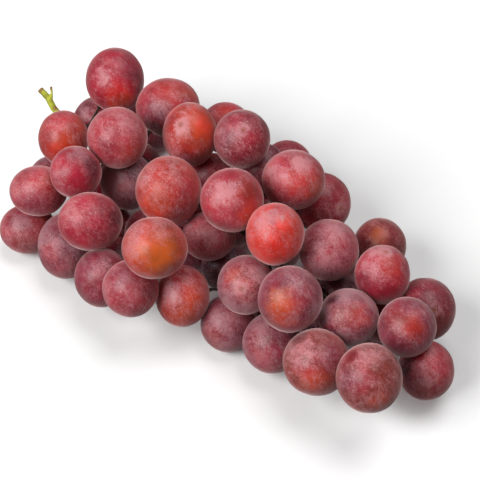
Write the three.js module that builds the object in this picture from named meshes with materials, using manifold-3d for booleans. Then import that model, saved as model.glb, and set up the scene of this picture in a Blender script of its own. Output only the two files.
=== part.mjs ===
// A bunch of large red table grapes, picked and laid on its side on a flat surface.
// Millimetres, +Z up. +X runs along the bunch from its cut stalk to its tip, it lies on the surface Z = 0,
// and the origin is under the middle of the bunch. Each grape is a solid of its own. The whole green stalk,
// which grew as one piece, is another: cut stalk, main stem, side branches and a short stem for each grape.

import * as THREE from "three";
import Module from "manifold-3d";

const wasm = await Module();
wasm.setup();

// The viewpoint that the grapes are laid out from: it looks down on the bunch from beside its tip.
const VIEW_AZIMUTH = THREE.MathUtils.degToRad(39);
const VIEW_ELEVATION = THREE.MathUtils.degToRad(48);
const VIEW_DISTANCE = 700;
const VIEW_AIM = new THREE.Vector3(0, 0, 30);
const VIEW_AIM_PIXEL = [228, 232];
const MM_PER_PIXEL = 0.44;

// How the grapes lie: how far two that touch press into each other, and how deep the flats underneath are.
const GRAPE_PRESS = 0.9;
const PRESSED_GAP = 0.06;
const RESTING_FLAT_DEPTH = 0.35;
const SETTLING_ROUNDS = 600;
const SIGHT_LINE_PULL = 0.25;

// The form of one grape, as shares of its radius: a dimple round the stalk, and a slight point opposite it.
const GRAPE_SIDES = 12;
const GRAPE_RINGS = 9;
const GRAPE_FACET_ALLOWANCE = 1.015;
const STALK_DIMPLE = 0.09;
const BLOSSOM_POINT = 0.02;

// Grapes that the viewpoint sees: centre in pixels, width and height in pixels, and the height of the
// centre above the surface in millimetres before they settle. A grape of height 0 rests on the surface.
const ON_SURFACE = 0;
const SEEN_GRAPES = {
  shoulder: [
    [115, 80, 58, 64, 44],
    [168, 107.5, 64, 59, 44],
    [63.5, 138, 50, 55, 41],
    [117, 138, 60, 61, 50],
    [100, 122, 54, 52, 22],
    [190, 134.5, 55, 64, 50],
    [76, 172, 51, 52, 44],
    [38.5, 191, 57, 50, 30],
    [52, 178, 46, 44, 22],
    [28, 229, 56, 50, ON_SURFACE],
    [66, 246, 56, 66, 16],
    [90.5, 222, 64, 58, 34],
    [127, 181, 54, 58, 28],
  ],
  middle: [
    [168.5, 190.5, 66, 69, 48],
    [154.5, 248, 65, 61, 44],
    [101.5, 277, 54, 59, 18],
    [130.5, 288.5, 56, 57, 28],
    [182.5, 296, 54, 62, 22],
    [232, 200, 63, 64, 50],
    [242, 139, 56, 58, 48],
    [226, 128, 52, 52, 32],
    [293.5, 180, 63, 60, 46],
    [287, 163, 50, 46, 30],
    [321, 203, 60, 61, 28],
    [275, 234, 58, 62, 46],
    [262, 168, 50, 50, 34],
    [213, 178, 50, 50, 30],
    [209, 236, 54, 50, 34],
    [277, 241, 58, 60, 24],
    [226, 268, 50, 50, 18],
    [150, 233, 50, 50, 18],
    [120, 262, 50, 50, ON_SURFACE],
  ],
  tip: [
    [329, 250, 60, 62, 38],
    [246, 285, 57, 59, 28],
    [290, 299, 64, 66, 35],
    [228.5, 323.5, 56, 58, ON_SURFACE],
    [272, 343, 59, 61, 14],
    [316.5, 362, 66, 66, 18],
    [349, 317, 60, 58, 34],
    [369, 378, 64, 68, 22],
    [426, 370, 56, 60, 19],
    [407, 327, 58, 60, 35],
    [424.5, 309.5, 60, 62, 16],
    [382.5, 275, 55, 59, 36],
    [379.5, 246, 53, 56, 20],
    [338, 297, 48, 48, 14],
    [383, 318, 50, 50, ON_SURFACE],
    [325, 335, 50, 50, ON_SURFACE],
  ],
};

const sin = Math.sin;
const cos = Math.cos;
const viewRight = new THREE.Vector3(cos(VIEW_AZIMUTH), sin(VIEW_AZIMUTH), 0);
const viewBack = new THREE.Vector3(
  sin(VIEW_AZIMUTH) * cos(VIEW_ELEVATION),
  -cos(VIEW_AZIMUTH) * cos(VIEW_ELEVATION),
  sin(VIEW_ELEVATION),
);
const viewUp = viewBack.clone().cross(viewRight);
const viewEye = VIEW_AIM.clone().addScaledVector(viewBack, VIEW_DISTANCE);

// The direction from the viewpoint through a pixel.
function sightLine(column, row) {
  const across = (column - VIEW_AIM_PIXEL[0]) * MM_PER_PIXEL;
  const up = (VIEW_AIM_PIXEL[1] - row) * MM_PER_PIXEL;
  return viewBack
    .clone()
    .multiplyScalar(-VIEW_DISTANCE)
    .addScaledVector(viewRight, across)
    .addScaledVector(viewUp, up)
    .normalize();
}

// The point at a height on the line of sight through a pixel.
function pointAtHeight(line, height) {
  return viewEye.clone().addScaledVector(line, (height - viewEye.z) / line.z);
}

function seenGrape([column, row, widthPixels, heightPixels, height]) {
  const line = sightLine(column, row);
  const rests = height === ON_SURFACE;
  const roughRadius = (MM_PER_PIXEL * (widthPixels + heightPixels)) / 4;
  const centre = pointAtHeight(line, rests ? roughRadius : height);
  const nearness = centre.distanceTo(viewEye) / VIEW_DISTANCE;
  const halfWidth = (MM_PER_PIXEL * widthPixels * nearness) / 2;
  const halfHeight = (MM_PER_PIXEL * heightPixels * nearness) / 2;
  return { centre, line, rests, half: [halfWidth, halfHeight, Math.sqrt(halfWidth * halfHeight)] };
}

// Grapes that lie underneath and behind: centre X, Y and Z, then the diameter, in millimetres.
const HIDDEN_GRAPES = [
  [-83.6, 41.8, 13.5, 27],
  [-80, -16, 12, 24],
  [-70, 18, 12, 24],
  [-46, 32, 12, 24],
  [-36, 8, 12, 24],
  [-6.8, -8.7, 12, 24],
  [-8.1, 23.1, 12, 24],
  [12, 32, 12, 24],
  [38, 28, 12, 24],
  [24, 10, 12.5, 25],
  [-55, -10, 12, 23],
];

function hiddenGrape([x, y, z, diameter]) {
  const centre = new THREE.Vector3(x, y, z);
  const radius = diameter / 2;
  return { centre, line: null, rests: z <= radius + 1, half: [radius, radius, radius] };
}

// How far a grape reaches from its centre towards a direction. Its axes lie along the view's right, up and
// back.
function reach(grape, direction) {
  const [halfWidth, halfHeight, halfDepth] = grape.half;
  return Math.hypot(
    halfWidth * direction.dot(viewRight),
    halfHeight * direction.dot(viewUp),
    halfDepth * direction.dot(viewBack),
  );
}

const STRAIGHT_UP = new THREE.Vector3(0, 0, 1);

// The main stem: the cut stalk, seen in front of the bunch, then its way through the middle, so that no
// grape lies across it. The first points are a column and a row in pixels and a height in millimetres.
const STEM_GAP = 0.4;
const MAIN_STEM_CLEARANCE = 2.2;
const CUT_STALK = [
  [40, 89, 42],
  [50.5, 101, 38],
  [57, 113, 34],
].map(([column, row, height]) => pointAtHeight(sightLine(column, row), height));
const STUB_TIP = pointAtHeight(sightLine(51, 86.5), 43);
const MAIN_STEM_ROUTE = [
  [-84, 8, 31],
  [-56, 11, 28],
  [-26, 9, 26],
  [10, 7, 26],
  [40, 3, 24],
  [74, 2, 20],
].map((point) => new THREE.Vector3(...point));
const mainStem = new THREE.CatmullRomCurve3([...CUT_STALK, ...MAIN_STEM_ROUTE]);
const mainStemPoints = mainStem.getSpacedPoints(80);

function pushApart(first, second) {
  const offset = second.centre.clone().sub(first.centre);
  const distance = offset.length();
  const direction = offset.divideScalar(distance);
  const overlap = reach(first, direction) + reach(second, direction) - GRAPE_PRESS - distance;
  if (overlap <= 0) return;
  first.centre.addScaledVector(direction, -overlap / 2);
  second.centre.addScaledVector(direction, overlap / 2);
}

function pushOffMainStem(grape) {
  for (const point of mainStemPoints) {
    const offset = grape.centre.clone().sub(point);
    const distance = offset.length();
    const direction = offset.divideScalar(distance);
    const overlap = reach(grape, direction) + MAIN_STEM_CLEARANCE + STEM_GAP - distance;
    if (overlap > 0) grape.centre.addScaledVector(direction, overlap);
  }
}

// Moves a grape part of the way back to the line of sight that it is seen on.
function pullToSightLine(grape) {
  if (!grape.line) return;
  const fromEye = grape.centre.clone().sub(viewEye);
  const onLine = grape.line.clone().multiplyScalar(fromEye.dot(grape.line));
  grape.centre.addScaledVector(onLine.sub(fromEye), SIGHT_LINE_PULL);
}

// Keeps a grape out of the surface. One that rests is kept down on it, on a small flat spot.
function layOnSurface(grape) {
  const lowest = reach(grape, STRAIGHT_UP) - RESTING_FLAT_DEPTH;
  if (grape.rests || grape.centre.z < lowest) grape.centre.z = lowest;
}

function settle(grapes) {
  for (let round = 0; round < SETTLING_ROUNDS; round += 1) {
    grapes.forEach(pullToSightLine);
    grapes.forEach((grape, index) => grapes.slice(index + 1).forEach((other) => pushApart(grape, other)));
    grapes.forEach(pushOffMainStem);
    grapes.forEach(layOnSurface);
  }
}

const grapes = Object.values(SEEN_GRAPES).flat().map(seenGrape);
grapes.push(...HIDDEN_GRAPES.map(hiddenGrape));
settle(grapes);

// A closed solid through rings of points, with one point closing each end.
function solidThroughRings(firstEnd, rings, lastEnd) {
  const sides = rings[0].length;
  const points = [firstEnd, ...rings.flat(), lastEnd];
  const last = points.length - 1;
  const at = (ring, side) => 1 + ring * sides + (side % sides);
  const triangles = [];
  for (let side = 0; side < sides; side += 1) {
    triangles.push(0, at(0, side + 1), at(0, side));
    for (let ring = 1; ring < rings.length; ring += 1) {
      triangles.push(at(ring - 1, side), at(ring - 1, side + 1), at(ring, side + 1));
      triangles.push(at(ring - 1, side), at(ring, side + 1), at(ring, side));
    }
    triangles.push(last, at(rings.length - 1, side), at(rings.length - 1, side + 1));
  }
  const mesh = new wasm.Mesh({
    numProp: 3,
    vertProperties: new Float32Array(points.flatMap((point) => point.toArray())),
    triVerts: new Uint32Array(triangles),
  });
  return new wasm.Manifold(mesh);
}

// How far the surface of a grape is from its centre in a direction.
function surfaceDistance(grape, direction) {
  const [halfWidth, halfHeight, halfDepth] = grape.half;
  const shares = [
    direction.dot(viewRight) / halfWidth,
    direction.dot(viewUp) / halfHeight,
    direction.dot(viewBack) / halfDepth,
  ];
  return 1 / Math.hypot(...shares);
}

// How far a point is outside a grape.
function distanceOff(grape, point) {
  const offset = point.clone().sub(grape.centre);
  const distance = offset.length();
  return distance - surfaceDistance(grape, offset.divideScalar(distance));
}

// The short stems are led through the gaps between the grapes on a grid of cells. Each cell knows how much
// room it has round it, and each short stem takes the cheapest way to the stem that has grown so far.
const CELL = 1.25;
const ROOM_LIMIT = 5;
const LEAST_ROOM = 1.05;
const EASY_ROOM = 1.9;
const CROWDING_COST = 1;
const LEAST_HEIGHT = 2;
const COST_STEP = 0.25;
const ROOM_OUTSIDE = 8;
const layoutBox = new THREE.Box3().setFromPoints([...grapes.map(({ centre }) => centre), ...mainStemPoints]);
layoutBox.expandByScalar(ROOM_OUTSIDE);
const gridStart = layoutBox.min;
const gridSize = layoutBox.getSize(new THREE.Vector3()).divideScalar(CELL).ceil().addScalar(1);
const columnStep = gridSize.x;
const layerStep = gridSize.x * gridSize.y;

function cellPoint(cell) {
  const layer = Math.floor(cell / layerStep);
  const row = Math.floor((cell % layerStep) / columnStep);
  return new THREE.Vector3(cell % columnStep, row, layer).multiplyScalar(CELL).add(gridStart);
}

function cellAt(point) {
  const place = point.clone().sub(gridStart).divideScalar(CELL).round();
  place.clamp(new THREE.Vector3(), gridSize.clone().subScalar(1));
  return place.x + place.y * columnStep + place.z * layerStep;
}

function cellsNear(centre, radius) {
  const cells = [];
  const corner = new THREE.Vector3();
  for (let z = -radius; z <= radius; z += CELL) {
    for (let y = -radius; y <= radius; y += CELL) {
      for (let x = -radius; x <= radius; x += CELL) {
        corner.set(x, y, z).add(centre);
        if (layoutBox.containsPoint(corner)) cells.push(cellAt(corner));
      }
    }
  }
  return cells;
}

const room = new Float32Array(layerStep * gridSize.z).fill(ROOM_LIMIT);
for (const grape of grapes) {
  for (const cell of cellsNear(grape.centre, Math.max(...grape.half) + ROOM_LIMIT)) {
    room[cell] = Math.min(room[cell], distanceOff(grape, cellPoint(cell)));
  }
}

const NEIGHBOURS = [];
for (const x of [-1, 0, 1]) {
  for (const y of [-1, 0, 1]) {
    for (const z of [-1, 0, 1]) {
      const length = CELL * Math.hypot(x, y, z);
      if (length > 0) NEIGHBOURS.push({ step: x + y * columnStep + z * layerStep, length });
    }
  }
}

// Hardly any short stem shows from the viewpoint, so a way that no grape hides from it costs more.
const SHOWING_COST = 3;
const HIDING_SHARE = 0.97;
const showing = new Map();

function isShowing(cell) {
  if (!showing.has(cell)) {
    const sight = new THREE.Ray(cellPoint(cell), new THREE.Vector3());
    sight.direction.subVectors(viewEye, sight.origin).normalize();
    const hides = (grape) => sight.distanceToPoint(grape.centre) < HIDING_SHARE * Math.min(...grape.half);
    showing.set(cell, !grapes.some(hides));
  }
  return showing.get(cell);
}

// The cheapest way from a set of starting cells to a cell that the stem has reached.
function cheapestWay(starts, isReached) {
  const costs = new Map();
  const previous = new Map();
  const queue = [];
  const offer = (cell, cost, from) => {
    if (cost >= (costs.get(cell) ?? Infinity)) return;
    costs.set(cell, cost);
    previous.set(cell, from);
    const place = Math.round(cost / COST_STEP);
    queue[place] = queue[place] ?? [];
    queue[place].push([cell, cost]);
  };
  starts.forEach(([cell, cost]) => offer(cell, cost, -1));
  for (let place = 0; place < queue.length; place += 1) {
    for (const [cell, cost] of queue[place] ?? []) {
      if (cost > costs.get(cell)) continue;
      if (isReached(cell)) {
        const way = [];
        for (let at = cell; at !== -1; at = previous.get(at)) way.push(at);
        return way;
      }
      for (const { step, length } of NEIGHBOURS) {
        const next = cell + step;
        if (!(room[next] >= LEAST_ROOM) || cellPoint(next).z < LEAST_HEIGHT) continue;
        const crowding = room[next] < EASY_ROOM ? CROWDING_COST : 0;
        const exposure = isShowing(next) ? SHOWING_COST : 0;
        offer(next, cost + length * (1 + crowding + exposure), cell);
      }
    }
  }
  return null;
}

// Where a grape hangs from: towards the main stem, a little nearer to the cut stalk than the grape is.
const STALKWARD = 10;
const END_SHELL = [1.4, 3.4];
const END_TURN_COST = 30;
const STEM_END_GAP = 0.35;

function inwardDirection(grape) {
  const target = grape.centre.clone();
  target.x -= STALKWARD;
  const distances = mainStemPoints.map((point) => point.distanceTo(target));
  const nearest = mainStemPoints[distances.indexOf(Math.min(...distances))];
  return nearest.clone().sub(grape.centre).normalize();
}

function distanceToMainStem(grape) {
  return Math.min(...mainStemPoints.map((point) => point.distanceTo(grape.centre)));
}

function startingCells(grape) {
  const inward = inwardDirection(grape);
  const starts = [];
  for (const cell of cellsNear(grape.centre, Math.max(...grape.half) + END_SHELL[1])) {
    if (room[cell] < LEAST_ROOM) continue;
    const point = cellPoint(cell);
    const off = distanceOff(grape, point);
    if (off < END_SHELL[0] || off > END_SHELL[1] || point.z < LEAST_HEIGHT) continue;
    const turn = 1 - point.sub(grape.centre).normalize().dot(inward);
    starts.push([cell, END_TURN_COST * turn]);
  }
  return starts;
}

// Smooths a way, holding its ends and keeping the rest clear of every grape.
const SMOOTHING_ROUNDS = 30;
const SMOOTHING_SHARE = 0.5;

function smoothWay(points) {
  for (let round = 0; round < SMOOTHING_ROUNDS; round += 1) {
    for (let place = 1; place < points.length - 2; place += 1) {
      const middle = points[place - 1].clone().add(points[place + 1]).multiplyScalar(0.5);
      points[place].lerp(middle, SMOOTHING_SHARE);
      for (const grape of grapes) {
        const short = LEAST_ROOM - distanceOff(grape, points[place]);
        if (short <= 0) continue;
        points[place].addScaledVector(points[place].clone().sub(grape.centre).normalize(), short);
      }
    }
  }
  return points;
}

// The stem as it grows: each branch has evenly spaced points and how many grapes hang from each of them.
const POINT_SPACING = 2;
const JOINING_DISTANCE = 6;
const BARE_STALK_LENGTH = 34;
const branches = [];
const reachedCells = new Map();

function addBranch(points, parent, parentPlace) {
  const curve = new THREE.CatmullRomCurve3(points);
  const count = Math.max(3, Math.round(curve.getLength() / POINT_SPACING));
  const spaced = curve.getSpacedPoints(count);
  const branch = { points: spaced, loads: spaced.map(() => 0), parent, parentPlace, grape: null };
  branches.push(branch);
  return branch;
}

function letJoin(branch, fromPlace, toPlace) {
  for (let place = fromPlace; place <= toPlace; place += 1) {
    const cell = cellAt(branch.points[place]);
    if (!reachedCells.has(cell)) reachedCells.set(cell, [branch, place]);
    for (const { step } of NEIGHBOURS) {
      if (!reachedCells.has(cell + step)) reachedCells.set(cell + step, [branch, place]);
    }
  }
}

function addLoad(branch, fromPlace) {
  for (let place = 0; place <= fromPlace; place += 1) branch.loads[place] += 1;
  if (branch.parent) addLoad(branch.parent, branch.parentPlace);
}

const trunk = addBranch(mainStem.points, null, 0);
letJoin(trunk, Math.round(BARE_STALK_LENGTH / POINT_SPACING), trunk.points.length - 1);

for (const grape of [...grapes].sort((a, b) => distanceToMainStem(a) - distanceToMainStem(b))) {
  const way = cheapestWay(startingCells(grape), (cell) => reachedCells.has(cell));
  if (!way) throw new Error("a grape has no way to the stem");
  const [parent, parentPlace] = reachedCells.get(way[0]);
  const points = way.map(cellPoint);
  points[0] = parent.points[parentPlace].clone();
  const stalkEnd = points[points.length - 1].clone().sub(grape.centre).normalize();
  const dimple = surfaceDistance(grape, stalkEnd) * (1 - STALK_DIMPLE) * GRAPE_FACET_ALLOWANCE;
  points.push(grape.centre.clone().addScaledVector(stalkEnd, dimple + STEM_END_GAP));
  grape.stalkEnd = stalkEnd;
  const branch = addBranch(smoothWay(points), parent, parentPlace);
  branch.grape = grape;
  const joinable = branch.points.length - 1 - Math.round(JOINING_DISTANCE / POINT_SPACING);
  letJoin(branch, 1, joinable);
  addLoad(branch, branch.points.length - 1);
}

// The stem is the thicker, the more grapes hang from it, and it ends in a collar at each grape.
const SHORT_STEM_RADIUS = 0.72;
const STEM_THICKENING = 0.3;
const COLLAR_RADIUS = 1.45;
const COLLAR_LENGTH = 1.7;
const CUT_STALK_RADIUS = 1.45;
const MAIN_STEM_RADII = [1.5, 1.9, 1.7, 1.4, 1];
const STUB_RADII = [1.1, 0.75, 0.6, 0.75];
const STUB_BOW = 0.5;
const STEM_SIMPLIFYING = 0.06;
const STEM_SIDES = 5;
const MAIN_STEM_SIDES = 8;
const STEM_STEP = 5.6;

function branchRadius(branch, place) {
  const wanted = SHORT_STEM_RADIUS * branch.loads[place] ** STEM_THICKENING;
  const free = room[cellAt(branch.points[place])] - STEM_END_GAP;
  return Math.max(SHORT_STEM_RADIUS, Math.min(wanted, free));
}

function mainStemRadius(share) {
  const place = share * (MAIN_STEM_RADII.length - 1);
  const before = Math.min(Math.floor(place), MAIN_STEM_RADII.length - 2);
  return THREE.MathUtils.lerp(MAIN_STEM_RADII[before], MAIN_STEM_RADII[before + 1], place - before);
}

// A round tube along a curve: its rings are given as shares of the curve's length, each with a radius.
function taperedTube(curve, shares, radii, sides) {
  const normal = STRAIGHT_UP.clone();
  const centres = shares.map((share) => curve.getPointAt(share));
  const rings = centres.map((centre, index) => {
    const along = curve.getTangentAt(shares[index]);
    normal.addScaledVector(along, -normal.dot(along)).normalize();
    const across = along.clone().cross(normal);
    return Array.from({ length: sides }, (_, side) => {
      const angle = (2 * Math.PI * side) / sides;
      const point = centre.clone().addScaledVector(normal, radii[index] * cos(angle));
      return point.addScaledVector(across, radii[index] * sin(angle));
    });
  });
  return solidThroughRings(centres[0], rings, centres[centres.length - 1]);
}

function evenShares(steps, end) {
  return Array.from({ length: steps + 1 }, (_, step) => (end * step) / steps);
}

function branchSolid(branch) {
  const curve = new THREE.CatmullRomCurve3(branch.points);
  const length = curve.getLength();
  const steps = Math.max(2, Math.round((length - COLLAR_LENGTH) / STEM_STEP));
  const shares = evenShares(steps, 1 - COLLAR_LENGTH / length);
  const last = branch.points.length - 1;
  const radii = shares.map((share) => branchRadius(branch, Math.round(share * last)));
  return taperedTube(curve, [...shares, 1], [...radii, COLLAR_RADIUS], STEM_SIDES);
}

function wholeStem() {
  const shares = evenShares(Math.round(mainStem.getLength() / STEM_STEP), 1);
  const mainRadii = shares.map((share) => (share === 0 ? CUT_STALK_RADIUS : mainStemRadius(share)));
  let stem = taperedTube(mainStem, shares, mainRadii, MAIN_STEM_SIDES);
  const fork = CUT_STALK[1];
  const bowed = fork.clone().lerp(STUB_TIP, 0.5).addScaledVector(viewRight, STUB_BOW);
  const stub = new THREE.CatmullRomCurve3([fork, bowed, STUB_TIP]);
  stem = stem.add(taperedTube(stub, evenShares(STUB_RADII.length - 1, 1), STUB_RADII, STEM_SIDES));
  for (const branch of branches.filter(({ grape }) => grape)) stem = stem.add(branchSolid(branch));
  return stem.simplify(STEM_SIMPLIFYING);
}

// One grape as a solid: a ball with a dimple, turned so that the dimple faces its stem, stretched to its
// size, and cut flat where it presses on another grape or on the surface.
const viewAxes = new THREE.Matrix4().makeBasis(viewRight, viewUp, viewBack);

function wholeGrape(grape) {
  const stretch = viewAxes.clone().multiply(new THREE.Matrix4().makeScale(...grape.half));
  stretch.multiply(viewAxes.clone().transpose());
  const axis = grape.stalkEnd.clone().transformDirection(stretch.clone().invert());
  const turn = new THREE.Quaternion().setFromUnitVectors(STRAIGHT_UP, axis);
  const place = (radius, angle, height) =>
    new THREE.Vector3(radius * cos(angle), radius * sin(angle), height)
      .multiplyScalar(GRAPE_FACET_ALLOWANCE)
      .applyQuaternion(turn)
      .applyMatrix4(stretch)
      .add(grape.centre);
  const rings = [];
  for (let ring = 1; ring < GRAPE_RINGS; ring += 1) {
    const polar = (Math.PI * ring) / GRAPE_RINGS;
    const points = [];
    for (let side = 0; side < GRAPE_SIDES; side += 1) {
      points.push(place(sin(polar), (2 * Math.PI * side) / GRAPE_SIDES, -cos(polar)));
    }
    rings.push(points);
  }
  return solidThroughRings(place(0, 0, -1 - BLOSSOM_POINT), rings, place(0, 0, 1 - STALK_DIMPLE));
}

// Cuts a grape along the plane half-way through the overlap with another grape.
function cutFlat(solid, grape, other) {
  const offset = other.centre.clone().sub(grape.centre);
  const distance = offset.length();
  const direction = offset.divideScalar(distance);
  const reachOfGrape = reach(grape, direction) * GRAPE_FACET_ALLOWANCE;
  const reachOfOther = reach(other, direction) * GRAPE_FACET_ALLOWANCE;
  const overlap = reachOfGrape + reachOfOther - distance;
  if (overlap < -PRESSED_GAP) return solid;
  const toPlane = reachOfGrape - overlap / 2 - PRESSED_GAP / 2;
  const outward = direction.clone().negate();
  return solid.trimByPlane(outward.toArray(), outward.dot(grape.centre) - toPlane);
}

function restingGrape(grape) {
  let solid = wholeGrape(grape);
  for (const other of grapes) if (other !== grape) solid = cutFlat(solid, grape, other);
  return solid.trimByPlane([0, 0, 1], 0);
}

function toMesh(name, solid, colour) {
  const { vertProperties, triVerts } = solid.getMesh();
  const geometry = new THREE.BufferGeometry();
  geometry.setAttribute("position", new THREE.BufferAttribute(new Float32Array(vertProperties), 3));
  geometry.setIndex([...triVerts]);
  geometry.computeVertexNormals();
  const mesh = new THREE.Mesh(geometry, new THREE.MeshStandardMaterial({ color: colour }));
  mesh.name = name;
  return mesh;
}

const GRAPE_COLOUR = 0x9c3a44;
const STEM_COLOUR = 0xa9ad4d;
const groups = [
  ...Object.entries(SEEN_GRAPES).map(([name, rows]) => [name, rows.length]),
  ["underside", HIDDEN_GRAPES.length],
];
const grapeNames = groups.flatMap(([name, count]) =>
  Array.from({ length: count }, (_, index) => `grape_${name}_${String(index + 1).padStart(2, "0")}`),
);

const bunch = new THREE.Group();
grapes.forEach((grape, index) => bunch.add(toMesh(grapeNames[index], restingGrape(grape), GRAPE_COLOUR)));
bunch.add(toMesh("stem", wholeStem(), STEM_COLOUR));

// Puts the origin under the middle of the bunch, on the surface.
const bunchBox = new THREE.Box3().setFromObject(bunch);
const middle = bunchBox.getCenter(new THREE.Vector3());
for (const mesh of bunch.children) mesh.geometry.translate(-middle.x, -middle.y, -bunchBox.min.z);

export default bunch;
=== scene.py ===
"""A bunch of large red table grapes lying on its side: the finished look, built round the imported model.

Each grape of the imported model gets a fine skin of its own, in the same place and of the same size, with a
dimple round its stem, soft flats where it presses on its neighbours, and its own colour and wax bloom. The
branching stem is rounded and roughened from its own solid. All lengths are in metres unless a name says
otherwise.
"""

import math
import random

import bmesh
import bpy
import numpy as np
from mathutils import Matrix, Vector, noise


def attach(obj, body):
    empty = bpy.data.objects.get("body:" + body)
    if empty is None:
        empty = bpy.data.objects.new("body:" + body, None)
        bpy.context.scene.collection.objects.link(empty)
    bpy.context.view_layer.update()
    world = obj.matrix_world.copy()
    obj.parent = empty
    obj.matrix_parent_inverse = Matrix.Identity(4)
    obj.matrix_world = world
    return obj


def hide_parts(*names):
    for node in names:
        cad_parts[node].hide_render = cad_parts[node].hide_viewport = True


bl_info = {
    "name": "Bunch of Grapes",
    "version": (1, 0, 0),
    "blender": (4, 5, 0),
    "location": "3D View > Sidebar > Grapes",
    "description": "Builds a bunch of red table grapes round its packed model",
    "category": "Add Mesh",
}

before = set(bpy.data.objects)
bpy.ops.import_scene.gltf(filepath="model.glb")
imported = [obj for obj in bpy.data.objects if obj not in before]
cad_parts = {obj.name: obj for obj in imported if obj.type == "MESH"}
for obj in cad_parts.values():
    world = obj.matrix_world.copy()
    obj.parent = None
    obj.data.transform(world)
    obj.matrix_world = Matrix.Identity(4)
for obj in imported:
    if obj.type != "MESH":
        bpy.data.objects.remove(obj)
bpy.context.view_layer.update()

MM = 0.001
BODY = "root"
STEM_NODE = "stem"
GRAPE_NODES = sorted(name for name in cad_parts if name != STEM_NODE)


def linear(hex_colour):
    """Turns an sRGB hex colour into the linear red, green, blue and alpha that Blender works in."""
    channels = [int(hex_colour[place : place + 2], 16) / 255 for place in (1, 3, 5)]
    turned = [c / 12.92 if c <= 0.04045 else ((c + 0.055) / 1.055) ** 2.4 for c in channels]
    return (*turned, 1.0)


# The photograph's viewpoint: beside the tip of the bunch and above it, looking down.
VIEW_AZIMUTH = math.radians(39)
VIEW_ELEVATION = math.radians(48)
VIEW_DISTANCE = 0.7
VIEW_AIM = Vector((0.00055, -0.0007, 0.030))
VIEW_AIM_PIXEL = (228, 232)
VIEW_METRES_PER_PIXEL = 0.44 * MM
PICTURE_PIXELS = 480
SENSOR_WIDTH_MM = 36
VIEW_RIGHT = Vector((math.cos(VIEW_AZIMUTH), math.sin(VIEW_AZIMUTH), 0))
VIEW_BACK = Vector(
    (
        math.sin(VIEW_AZIMUTH) * math.cos(VIEW_ELEVATION),
        -math.cos(VIEW_AZIMUTH) * math.cos(VIEW_ELEVATION),
        math.sin(VIEW_ELEVATION),
    )
)
VIEW_UP = VIEW_BACK.cross(VIEW_RIGHT)
VIEW_EYE = VIEW_AIM + VIEW_BACK * VIEW_DISTANCE


def point_at_height(pixel, height):
    """The point at a height above the surface that the photograph shows at a pixel."""
    across = (pixel[0] - VIEW_AIM_PIXEL[0]) * VIEW_METRES_PER_PIXEL
    up = (VIEW_AIM_PIXEL[1] - pixel[1]) * VIEW_METRES_PER_PIXEL
    line = VIEW_RIGHT * across + VIEW_UP * up - VIEW_BACK * VIEW_DISTANCE
    return VIEW_EYE + line * ((height - VIEW_EYE.z) / line.z)


# Colours of ripe skin under its bloom, from the darkest to the most translucent. On some grapes the dark
# ones are painted shade, and the orange ones are partly a painted glow of light through the flesh.
SKIN_TONES = {
    "plum": "#421223",
    "mauve": "#80263A",
    "wine": "#7C1426",
    "russet": "#863129",
    "crimson": "#A31B33",
    "rose": "#A62E3C",
    "brick": "#AC2C20",
    "ember": "#C2431A",
    "coral": "#D2382A",
    "scarlet": "#DC2A18",
    "amber": "#C8611C",
}
DUSKY_TONES = ("plum", "mauve")
UNSEEN_TONES = ("rose", "wine", "mauve", "brick", "crimson", "rose", "russet")
# A patch of this name is a smear of thick bloom, not a tone, or bare skin where its strength is negative.
# On a few grapes it is a painted highlight instead.
FROST_AND_HIGHLIGHT = "frost"
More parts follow.
